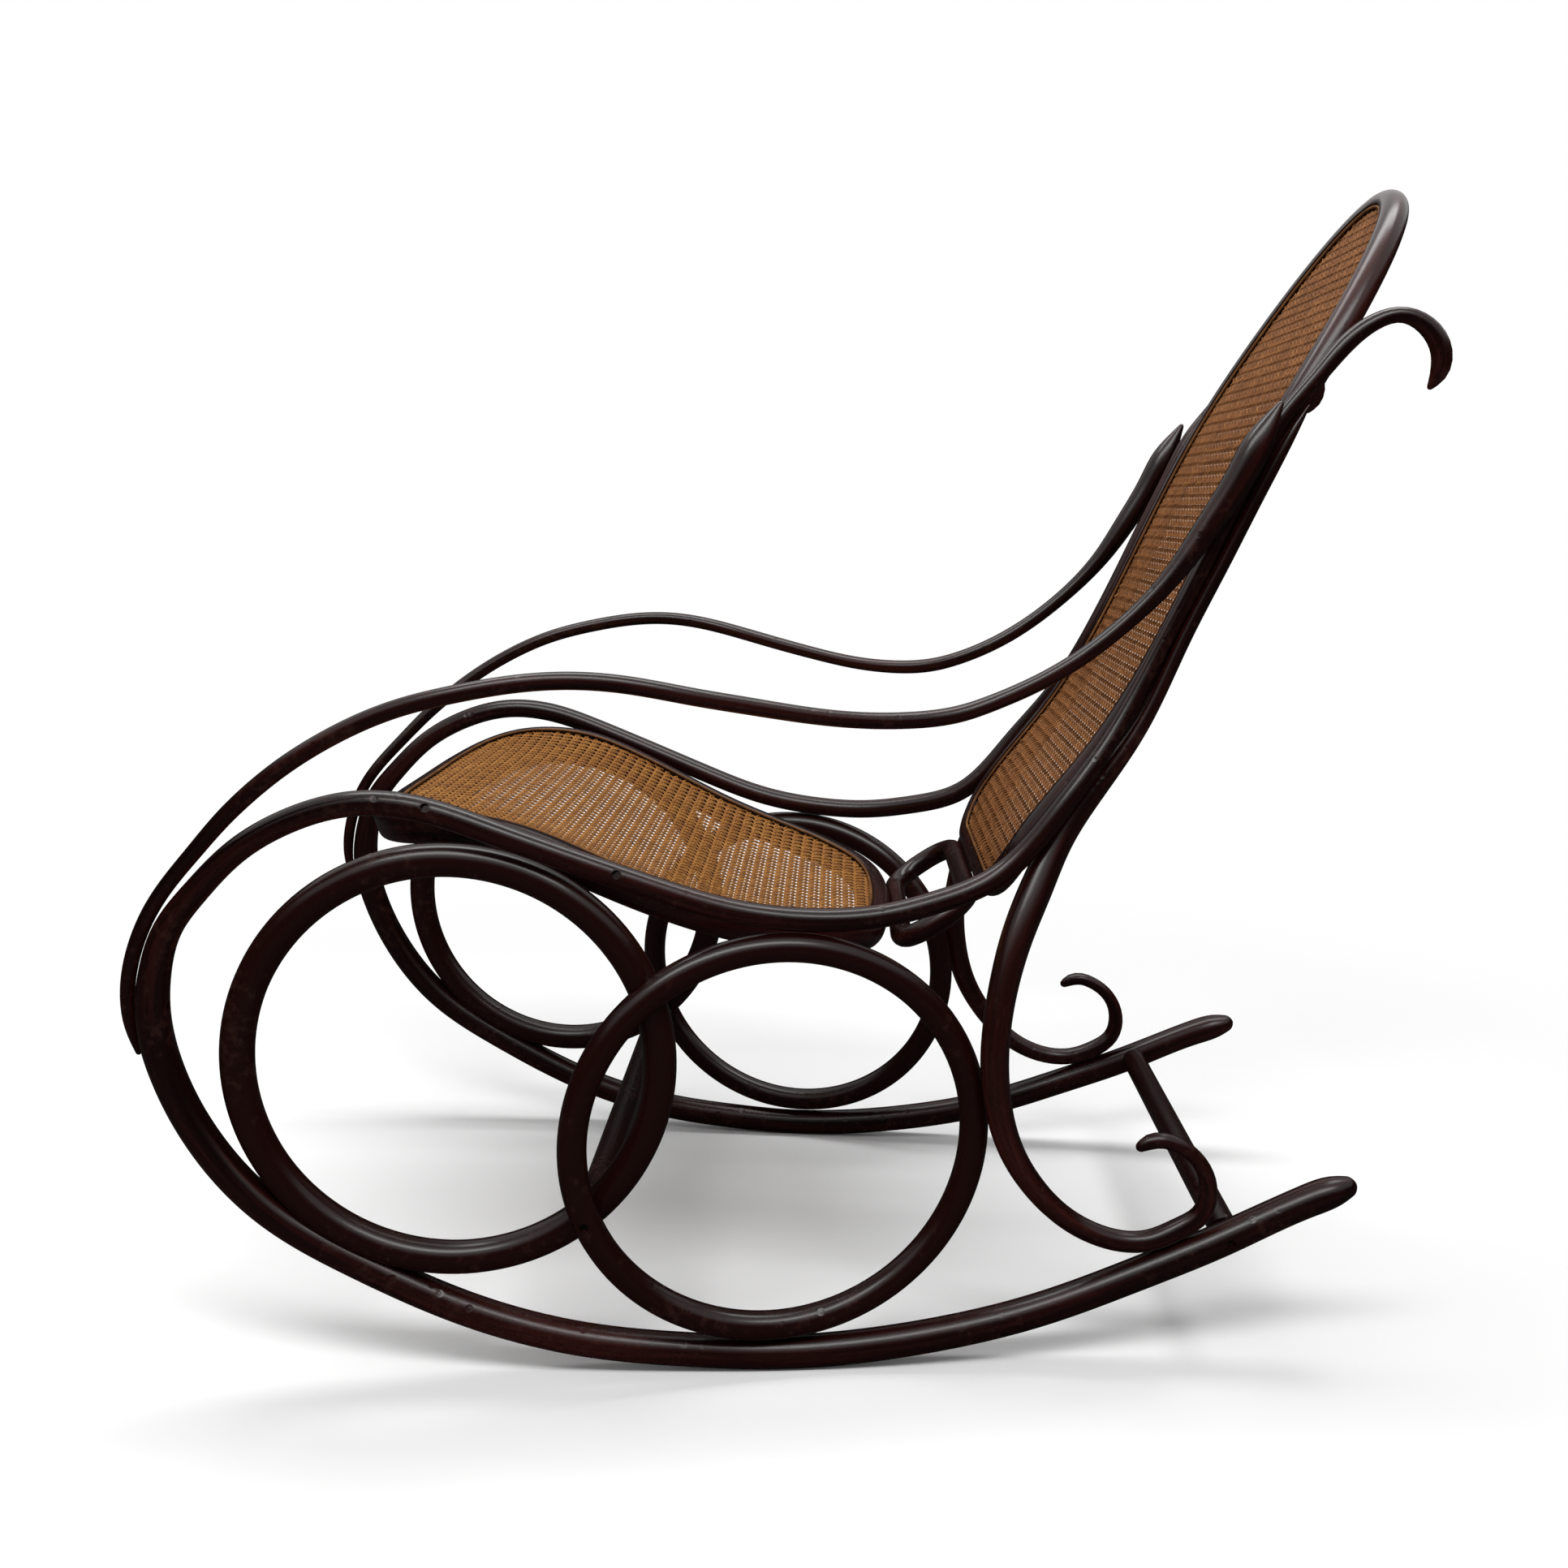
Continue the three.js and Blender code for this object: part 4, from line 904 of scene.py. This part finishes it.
def weave(prefix, bed):
    straight, slanting = [], []
    width = pair_width * bed.bulk
    for turn in (math.pi / 2, 0.0):
        whole, along, across, crown, line = strand_web(
            prefix, width, hole_spacing, pair_stops, hole_spacing, bed.reach)
        for side, piece in ((-1, copy_of(whole, prefix)), (1, whole)):
            u, v = turned(along, line * hole_spacing + side * pair_half + across, turn)
            strand = line + (side > 0) * second_strand + straight_family * turn
            strand_places = np.c_[along, across / (width / 2), strand]
            straight.append(bed.lay(piece, u, v, side * pair_height(along) + crown, strand_places))
    width = slant_width * bed.bulk
    spacing, period = hole_spacing / math.sqrt(2), hole_spacing * math.sqrt(2)
    for turn in (math.pi / 4, -math.pi / 4):
        piece, along, across, crown, line = strand_web(
            prefix, width, period, slant_stops, spacing, bed.reach * slant_reach)
        sideways = (line + 0.5) * spacing
        height = np.sign(turn) * slant_height(*turned(along, sideways, turn)) + crown
        u, v = turned(along, sideways + across, turn)
        strand = line + second_strand + slant_family * turn
        slanting.append(bed.lay(piece, u, v, height, np.c_[along, across / (width / 2), strand]))
    webs = [joined(straight, prefix + "_straight"), joined(slanting, prefix + "_slanting")]
    for web in webs:
        clean_mesh(web, math.radians(70), merge=1e-7)
        print(web.name, len(web.data.polygons), "faces")
    return webs


seat_webs = weave("seat_cane", seat_bed)
back_webs = weave("back_cane", back_bed)

# %% [markdown]
# ## Screws
# Each screw sits deep in its hole, where the top of its tapered shank shows. One shank and one
# bore are made and copied with their own meshes to each place. A place and its direction come
# from the measured screw: its longest direction, towards its wider end.

# %% Screws
shank_low, shank_high, shank_length, shank_middle = 0.0012, 0.00175, 0.014, -0.0092
bore_radius, bore_length, bore_middle = 0.0036, 0.0125, 0.0035
wide_share, turn_of_next = 0.8, 1.1


def screw_axis(node):
    points = np.array([v.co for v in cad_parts[node].data.vertices])
    points = np.unique(np.round(points, 6), axis=0)
    centre = points.mean(0)
    axis = np.linalg.svd(points - centre, full_matrices=False)[2][0]
    distance = (points - centre) @ axis
    wide = np.linalg.norm((points - centre) - np.outer(distance, axis), axis=1)
    if distance[wide > wide_share * wide.max()].mean() < 0:
        axis, distance = -axis, -distance
    return centre + axis * distance.max(), Vector(axis)


def put_copy(piece, name, top, axis, spin):
    copy = copy_of(piece, name)
    edit(copy)
    bpy.ops.transform.rotate(value=spin, orient_axis="Z", center_override=(0, 0, 0))
    leave_edit()
    copy.data.transform(axis.to_track_quat("Z", "Y").to_matrix().to_4x4())
    set_points(copy, points_of(copy) + top)
    return copy


clear_selection()
bpy.ops.mesh.primitive_cone_add(
    vertices=16, radius1=shank_low, radius2=shank_high, depth=shank_length, location=(0, 0, shank_middle))
bpy.ops.object.transform_apply(location=True, rotation=True, scale=True)
screw = named("plain_screw")
clear_selection()
bpy.ops.mesh.primitive_cylinder_add(
    vertices=28, radius=bore_radius, depth=bore_length, location=(0, 0, bore_middle))
bpy.ops.object.transform_apply(location=True, rotation=True, scale=True)
bore = named("screw_bore")
screws, bores = [], []
screw_nodes = [name for name in sorted(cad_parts) if "screw" in name or "bolt" in name]
for number, node_name in enumerate(screw_nodes):
    top, axis = screw_axis(node_name)
    screws.append((put_copy(screw, "screw_" + node_name, top, axis, turn_of_next * number), node_name))
    if node_name.endswith("_left"):
        bores.append((put_copy(bore, "bore_" + node_name, top, axis, 0), node_name))
for piece in (screw, bore):
    bpy.data.objects.remove(piece)
print("screws:", len(screws))

# %% [markdown]
# ## Screw holes and the right side frame
# The holes are cut in the left pieces, and then the left pieces are mirrored.

# %% Holes, then mirror copies
for bore, node_name in bores:
    cut_with(left_rear_ring if node_name.startswith("ring_screw") else left_rail, bore)
for piece in (left_rail, left_rear_ring, left_front_ring):
    only(piece)
    bpy.ops.object.shade_smooth_by_angle(angle=crease)
lefts = {
    "side_rail": left_rail, "arm": left_arm, "back_leg": left_leg,
    "front_ring": left_front_ring, "rear_ring": left_rear_ring,
}
pieces = []
for node, piece in lefts.items():
    right = mirrored_copy(piece, piece.name.replace("_left", "_right"))
    pieces += [(piece, node + "_left"), (right, node + "_right")]
pieces += [(hoop, "back_hoop"), (seat_frame, "seat_frame"), (loop, "connecting_loop"),
           (front_bar, "front_stretcher"), (rear_bar, "rear_stretcher")]
print("wooden pieces:", len(pieces))

# %% [markdown]
# ## Building a material from small steps
# A material is a tree of nodes. Each helper adds one node, sets its plain numbers, and links
# what comes from another node, so that a tree reads like a sum. A group is built once and used
# as one node in several trees.

# %% Node helpers
def feed(tree, made, inputs):
    for key, value in inputs.items():
        if isinstance(value, bpy.types.NodeSocket):
            tree.links.new(value, made.inputs[key])
        else:
            made.inputs[key].default_value = value


def node(tree, kind, inputs, **settings):
    made = tree.nodes.new(kind)
    for key, value in settings.items():
        setattr(made, key, value)
    feed(tree, made, inputs)
    return made


def calculate(tree, operation, *values, **settings):
    return node(tree, "ShaderNodeMath", dict(enumerate(values)), operation=operation, **settings).outputs[0]


def noise(tree, places, scale, detail, roughness):
    settings = {"Vector": places, "Scale": scale, "Detail": detail, "Roughness": roughness}
    return node(tree, "ShaderNodeTexNoise", settings).outputs["Fac"]


def stretched_noise(tree, places, stretch, detail, roughness):
    moved = node(tree, "ShaderNodeVectorMath", {0: places, 1: stretch}, operation="MULTIPLY")
    return noise(tree, moved.outputs[0], 1.0, detail, roughness)


def ranged(tree, value, low, high, to_low=0.0, to_high=1.0, kind="LINEAR"):
    ends = {"Value": value, "From Min": low, "From Max": high, "To Min": to_low, "To Max": to_high}
    return node(tree, "ShaderNodeMapRange", ends, interpolation_type=kind).outputs[0]


def smooth_step(tree, value, low, high):
    return ranged(tree, value, low, high, kind="SMOOTHSTEP")


def ramp(tree, value, stops):
    made = node(tree, "ShaderNodeValToRGB", {"Fac": value})
    marks = made.color_ramp.elements
    marks[0].position, marks[1].position = stops[0][0], stops[-1][0]
    marks[0].color, marks[1].color = (*stops[0][1:], 1), (*stops[-1][1:], 1)
    for position, *colour in stops[1:-1]:
        marks.new(position).color = (*colour, 1)
    return made.outputs["Color"]


def mixed_colour(tree, share, first, second):
    colours = {"Factor": share, "A": first, "B": (*second, 1)}
    return node(tree, "ShaderNodeMix", colours, data_type="RGBA", blend_type="MIX").outputs["Result"]


def bump(tree, strength, distance, height):
    return node(tree, "ShaderNodeBump", {"Strength": strength, "Distance": distance, "Height": height})


def new_group(name, inputs, outputs):
    group = bpy.data.node_groups.new(name, "ShaderNodeTree")
    for label, kind in inputs.items():
        group.interface.new_socket(name=label, in_out="INPUT", socket_type=kind)
    for label in outputs:
        group.interface.new_socket(name=label, in_out="OUTPUT", socket_type="NodeSocketFloat")
    return group, group.nodes.new("NodeGroupInput").outputs, group.nodes.new("NodeGroupOutput")


def new_material(name):
    made = bpy.data.materials.new(name)
    made.use_nodes = True
    return made, made.node_tree, made.node_tree.nodes["Principled BSDF"]


# %% [markdown]
# ## Grain and wear
# Steamed beech has a fine straight grain with short dark flecks. The grain group reads the place
# in the straight stick, so its streaks run along every bend, and puts out a tone, a fleck mask
# and a height. The wear group puts out rubbed places and small dents.

# %% Grain group
streak_stretch, fleck_stretch, band_stretch = (7, 150, 150), (140, 1500, 1500), (2.2, 14, 14)
streak_share, band_share, fleck_depth = 0.55, 0.45, -0.5

grain, given, put_out = new_group("bent_grain", {"Stick": "NodeSocketVector"}, ["Tone", "Flecks", "Height"])
streaks = stretched_noise(grain, given["Stick"], streak_stretch, 5.0, 0.62)
flecks = stretched_noise(grain, given["Stick"], fleck_stretch, 2.0, 0.5)
bands = stretched_noise(grain, given["Stick"], band_stretch, 2.0, 0.5)
fleck_mask = smooth_step(grain, flecks, 0.60, 0.72)
band_part = calculate(grain, "MULTIPLY", bands, band_share)
feed(grain, put_out, {
    "Tone": calculate(grain, "MULTIPLY_ADD", streaks, streak_share, band_part),
    "Flecks": fleck_mask,
    "Height": calculate(grain, "MULTIPLY_ADD", fleck_mask, fleck_depth, streaks),
})
print(grain.name, len(grain.nodes), "nodes")

# %% [markdown]
# Broad patches times fine noise make the rubbed places, which the Amount input scales. The dents
# are the middles of small cells, kept only inside some of the broad patches.

# %% Wear group
wear, given, put_out = new_group(
    "handling_wear", {"Place": "NodeSocketVector", "Amount": "NodeSocketFloat"}, ["Rub", "Dents"])
broad = noise(wear, given["Place"], 9.0, 4.0, 0.6)
fine = noise(wear, given["Place"], 120.0, 3.0, 0.6)
spots = node(wear, "ShaderNodeTexVoronoi", {"Vector": given["Place"], "Scale": 70.0, "Randomness": 1.0})
rub = smooth_step(wear, calculate(wear, "MULTIPLY", broad, fine), 0.27, 0.42)
near_spot = calculate(wear, "SUBTRACT", 1.0, smooth_step(wear, spots.outputs["Distance"], 0.10, 0.26))
feed(wear, put_out, {
    "Rub": calculate(wear, "MULTIPLY", rub, given["Amount"]),
    "Dents": calculate(wear, "MULTIPLY", near_spot, ranged(wear, broad, 0.52, 0.60)),
})
print(wear.name, len(wear.nodes), "nodes")

# %% [markdown]
# ## Wood finish
# The stain is nearly black with a red-brown depth where it is thin, and the polish is softly
# worn: rubbed places are a little lighter and duller.

# %% Wood material
stain_tones = [
    (0.32, 0.0018, 0.0005, 0.0004), (0.48, 0.0070, 0.0013, 0.0009),
    (0.58, 0.0165, 0.0023, 0.0015), (0.72, 0.0340, 0.0052, 0.0030),
]
fleck_colour, rubbed_colour = (0.0010, 0.0005, 0.0004), (0.040, 0.013, 0.008)

wood, tree, shader = new_material("polished_dark_beech")
stick = node(tree, "ShaderNodeAttribute", {}, attribute_name="stick").outputs["Vector"]
object_place = node(tree, "ShaderNodeTexCoord", {}).outputs["Object"]
grain_here = node(tree, "ShaderNodeGroup", {"Stick": stick}, node_tree=grain).outputs
wear_here = node(tree, "ShaderNodeGroup", {"Place": object_place, "Amount": 0.3}, node_tree=wear).outputs
stain = ramp(tree, grain_here["Tone"], stain_tones)
with_flecks = mixed_colour(tree, grain_here["Flecks"], stain, fleck_colour)
polish = ranged(tree, grain_here["Tone"], 0.3, 0.75, 0.21, 0.30)
grain_bump = bump(tree, 0.10, 0.0006, grain_here["Height"])
dent_bump = bump(tree, 0.35, 0.0010, wear_here["Dents"])
feed(tree, dent_bump, {"Normal": grain_bump.outputs["Normal"]})
dent_bump.invert = True
feed(tree, shader, {
    "Base Color": mixed_colour(tree, wear_here["Rub"], with_flecks, rubbed_colour),
    "Roughness": calculate(tree, "MULTIPLY_ADD", wear_here["Rub"], 0.15, polish),
    "Specular IOR Level": 0.31,
    "Normal": dent_bump.outputs["Normal"],
})
print(wood.name, len(tree.nodes), "nodes")

# %% [markdown]
# ## Cane finish
# Split cane has a satin skin in honey brown. No two strands have the same tone, and dark streaks
# run along them. Their edges are darkened with painted shade, where shade falls between the
# strands. The strand group reads how far along, how far across and which strand each point
# belongs to.

# %% Split cane group
slow_along, fast_along, fast_across, strand_apart = 14.0, 90.0, 5.0, 7.31
fibre_share, strand_share = 0.35, 0.65

split_cane, given, put_out = new_group(
    "split_cane", {"Strand": "NodeSocketVector"}, ["Tone", "Painted Edge Shade", "Height"])
parts = node(split_cane, "ShaderNodeSeparateXYZ", {0: given["Strand"]}).outputs
apart = calculate(split_cane, "MULTIPLY", parts["Z"], strand_apart)
slow = calculate(split_cane, "MULTIPLY", parts["X"], slow_along)
fast = calculate(split_cane, "MULTIPLY", parts["X"], fast_along)
sideways = calculate(split_cane, "MULTIPLY", parts["Y"], fast_across)
tone_at = node(split_cane, "ShaderNodeCombineXYZ", {"X": slow, "Y": apart}).outputs[0]
fibre_at = node(split_cane, "ShaderNodeCombineXYZ", {"X": fast, "Y": sideways, "Z": apart}).outputs[0]
strand_tone = calculate(split_cane, "MULTIPLY", noise(split_cane, tone_at, 1.0, 3.0, 0.6), strand_share)
fibres = noise(split_cane, fibre_at, 1.0, 3.0, 0.55)
off_middle = calculate(split_cane, "ABSOLUTE", parts["Y"])
feed(split_cane, put_out, {
    "Tone": calculate(split_cane, "MULTIPLY_ADD", fibres, fibre_share, strand_tone),
    # Painted shade: each strand is darker towards its edges.
    "Painted Edge Shade": smooth_step(split_cane, off_middle, 0.35, 1.0),
    "Height": calculate(split_cane, "MULTIPLY_ADD", off_middle, -1.0, fibres),
})
print(split_cane.name, len(split_cane.nodes), "nodes")

# %% [markdown]
# The seat's cane, the back's and the strip share one recipe, with their own tones. The back's
# is a little redder, and darker with painted shade, as it gets less light; it also gets less wear.

# %% Cane materials
honey = [
    (0.32, 0.075, 0.026, 0.005), (0.46, 0.175, 0.066, 0.012),
    (0.56, 0.275, 0.115, 0.023), (0.70, 0.430, 0.215, 0.060),
]
# Painted shade: the back's tones are darker than the seat's, as the back gets less light.
russet_with_painted_shade = [
    (0.32, 0.060, 0.022, 0.006), (0.46, 0.140, 0.052, 0.015),
    (0.56, 0.225, 0.090, 0.028), (0.70, 0.360, 0.175, 0.065),
]
umber = [(0.32, 0.045, 0.016, 0.005), (0.50, 0.095, 0.038, 0.011), (0.70, 0.180, 0.084, 0.028)]


def cane_material(name, source, tones, edge_shade_colour):
    made, tree, shader = new_material(name)
    places = node(tree, "ShaderNodeAttribute", {}, attribute_name=source).outputs["Vector"]
    cane_here = node(tree, "ShaderNodeGroup", {"Strand": places}, node_tree=split_cane).outputs
    # Painted shade: the strand edges are mixed towards a dark colour.
    edge_shade_share = calculate(tree, "MULTIPLY", cane_here["Painted Edge Shade"], 0.85)
    feed(tree, shader, {
        "Base Color": mixed_colour(tree, edge_shade_share, ramp(tree, cane_here["Tone"], tones), edge_shade_colour),
        "Roughness": ranged(tree, cane_here["Tone"], 0.3, 0.7, 0.44, 0.62),
        "Specular IOR Level": 0.10,
        "Normal": bump(tree, 0.35, 0.0003, cane_here["Height"]).outputs["Normal"],
    })
    return made


# The last colour given to each is the painted shade at the strand edges.
cane = cane_material("woven_cane", "strand", honey, (0.045, 0.014, 0.003))
back_cane = cane_material("woven_cane_of_the_back", "strand", russet_with_painted_shade, (0.040, 0.013, 0.004))
strip = cane_material("cane_strip", "stick", umber, (0.030, 0.011, 0.004))
print("cane materials:", cane.name, back_cane.name, strip.name)

# %% [markdown]
# ## Screw finish
# The screws are browned steel, darker in patches where the stain has run over them.

# %% Screw material
patina = [(0.35, 0.006, 0.003, 0.003), (0.55, 0.018, 0.010, 0.008), (0.70, 0.050, 0.032, 0.024)]

steel, tree, shader = new_material("browned_steel")
tarnish = noise(tree, node(tree, "ShaderNodeTexCoord", {}).outputs["Object"], 420.0, 4.0, 0.6)
feed(tree, shader, {
    "Base Color": ramp(tree, tarnish, patina),
    "Roughness": ranged(tree, tarnish, 0.0, 1.0, 0.55, 0.32),
    "Metallic": 0.8,
})
print(steel.name, len(tree.nodes), "nodes")

# %% [markdown]
# ## Everything rides on the chair
# The chair has no moving joint, so each piece rides on its one body. Each new piece stands for
# the measured piece of the same place.

# %% Dress and ride
def dress(piece, material, slot, *nodes):
    piece.data.materials.clear()
    piece.data.materials.append(material)
    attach(piece, "root")
    if nodes:
        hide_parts(*nodes)


for piece, node_name in pieces:
    dress(piece, wood, "wood", node_name)
dress(seat_webs[0], cane, "cane", "seat_cane_panel")
dress(seat_webs[1], cane, "cane")
dress(back_webs[0], back_cane, "cane", "back_cane_panel")
dress(back_webs[1], back_cane, "cane")
dress(seat_spline, strip, "cane", "seat_cane_spline")
dress(back_spline, strip, "cane", "back_cane_spline")
for piece, node_name in screws:
    dress(piece, steel, "screw", node_name)
print("dressed:", len(pieces) + len(seat_webs) + len(back_webs) + len(screws) + 2, "pieces")

# %% [markdown]
# ## Floor
# The floor is a plain pale sheet that keeps the chair's soft shadow and fades to white away
# from it. The white shows only to the camera, in reflections and through clear things, so it
# throws no light on the chair.

# %% Floor
shadow_reach, white_from = 0.65, 1.45


def seen_directly(tree):
    rays = node(tree, "ShaderNodeLightPath", {}).outputs
    seen = calculate(tree, "ADD", rays["Is Camera Ray"], rays["Is Glossy Ray"], use_clamp=True)
    return calculate(tree, "ADD", seen, rays["Is Transmission Ray"], use_clamp=True)


def blend_into(tree, output_node, share, first, second):
    blend = node(tree, "ShaderNodeMixShader", {"Fac": share, 1: first.outputs[0], 2: second.outputs[0]})
    tree.links.new(blend.outputs[0], tree.nodes[output_node].inputs["Surface"])


clear_selection()
bpy.ops.mesh.primitive_plane_add(size=40, location=(0, 0, 0))
floor = bpy.context.object
floor.name = "pale_floor"
floor_finish, tree, shader = new_material("pale_floor_finish")
floor_place = node(tree, "ShaderNodeTexCoord", {}).outputs["Object"]
floor_noise = noise(tree, floor_place, 3.0, 2.0, 0.5)
feed(tree, shader, {
    "Base Color": ramp(tree, floor_noise, [(0.3, 0.90, 0.90, 0.90), (0.7, 0.93, 0.93, 0.93)]),
    "Roughness": 0.9,
    "Specular IOR Level": 0.1,
})
away = node(tree, "ShaderNodeVectorMath", {0: floor_place}, operation="LENGTH").outputs["Value"]
faded = smooth_step(tree, away, shadow_reach, white_from)
white_share = calculate(tree, "MULTIPLY", seen_directly(tree), faded)
blend_into(tree, "Material Output", white_share, shader, node(tree, "ShaderNodeEmission", {"Strength": 1.0}))
floor.data.materials.append(floor_finish)
print("floor fades from", shadow_reach, "to", white_from, "m")

# %% [markdown]
# ## World and lights
# The world is white where it is seen and dimmer where it lights.

# %% World
white = (1.0, 1.0, 1.0, 1)
world_light = 0.36

world = bpy.data.worlds.new("white_room")
bpy.context.scene.world = world
world.use_nodes = True
tree = world.node_tree
background = tree.nodes["Background"]
feed(tree, background, {"Color": white, "Strength": world_light})
seen_white = node(tree, "ShaderNodeBackground", {"Color": white, "Strength": 1.0})
blend_into(tree, "World Output", seen_directly(tree), background, seen_white)
print("world light", world_light)

# %% [markdown]
# Two soft boxes hang above, wide and shallow. They give the dark polish its pale streaks.

# %% Soft boxes
lamp_aim, lamp_width = Vector((0, 0, 0.4)), 2.6


def soft_box(name, location, depth, power):
    clear_selection()
    bpy.ops.object.light_add(type="AREA", location=location)
    lamp = bpy.context.object
    lamp.name = name
    lamp.data.shape = "RECTANGLE"
    lamp.data.size, lamp.data.size_y = lamp_width, depth
    lamp.data.energy = power
    lamp.rotation_euler = (lamp_aim - Vector(location)).to_track_quat("-Z", "Y").to_euler()
    print(name, power, "W")


soft_box("soft_box_above", (-0.40, 0.0, 2.5), 0.62, 43)
soft_box("soft_box_camera_side", (1.45, -0.1, 2.3), 0.58, 47)

# %% [markdown]
# Dark cards stand all round and one lies just over the floor. Only reflections see them, so they
# throw no shadow, and between the pale streaks the polish stays deep and dark.

# %% Dark cards
card_distance, card_middle, card_width, card_height, low_card_lift = 3.2, 1.0, 6.4, 2.0, 0.002
card_finish, tree, shader = new_material("dark_card_finish")
feed(tree, shader, {"Base Color": (0.012, 0.010, 0.010, 1), "Roughness": 1.0})


def dark_card(name, location, height, target):
    clear_selection()
    bpy.ops.mesh.primitive_plane_add(size=1)
    card = named(name)
    spin = (Vector(target) - Vector(location)).to_track_quat("Z", "Y")
    square = points_of(card) * [card_width, height, 1]
    set_points(card, [spin @ Vector(point) + Vector(location) for point in square])
    card.data.materials.append(card_finish)
    card.visible_camera = card.visible_shadow = card.visible_diffuse = False


for number, (x, y) in enumerate([(1, 0), (0, -1), (-1, 0), (0, 1)]):
    place_of_card = (card_distance * x, card_distance * y, card_middle)
    dark_card("dark_card_%d" % (number + 1), place_of_card, card_height, (0, 0, card_middle))
dark_card("dark_card_low", (0, 0, low_card_lift), card_width, (0, 0, card_middle))
bpy.context.scene.view_settings.view_transform = "Standard"
print("dark cards", card_distance, "m away")
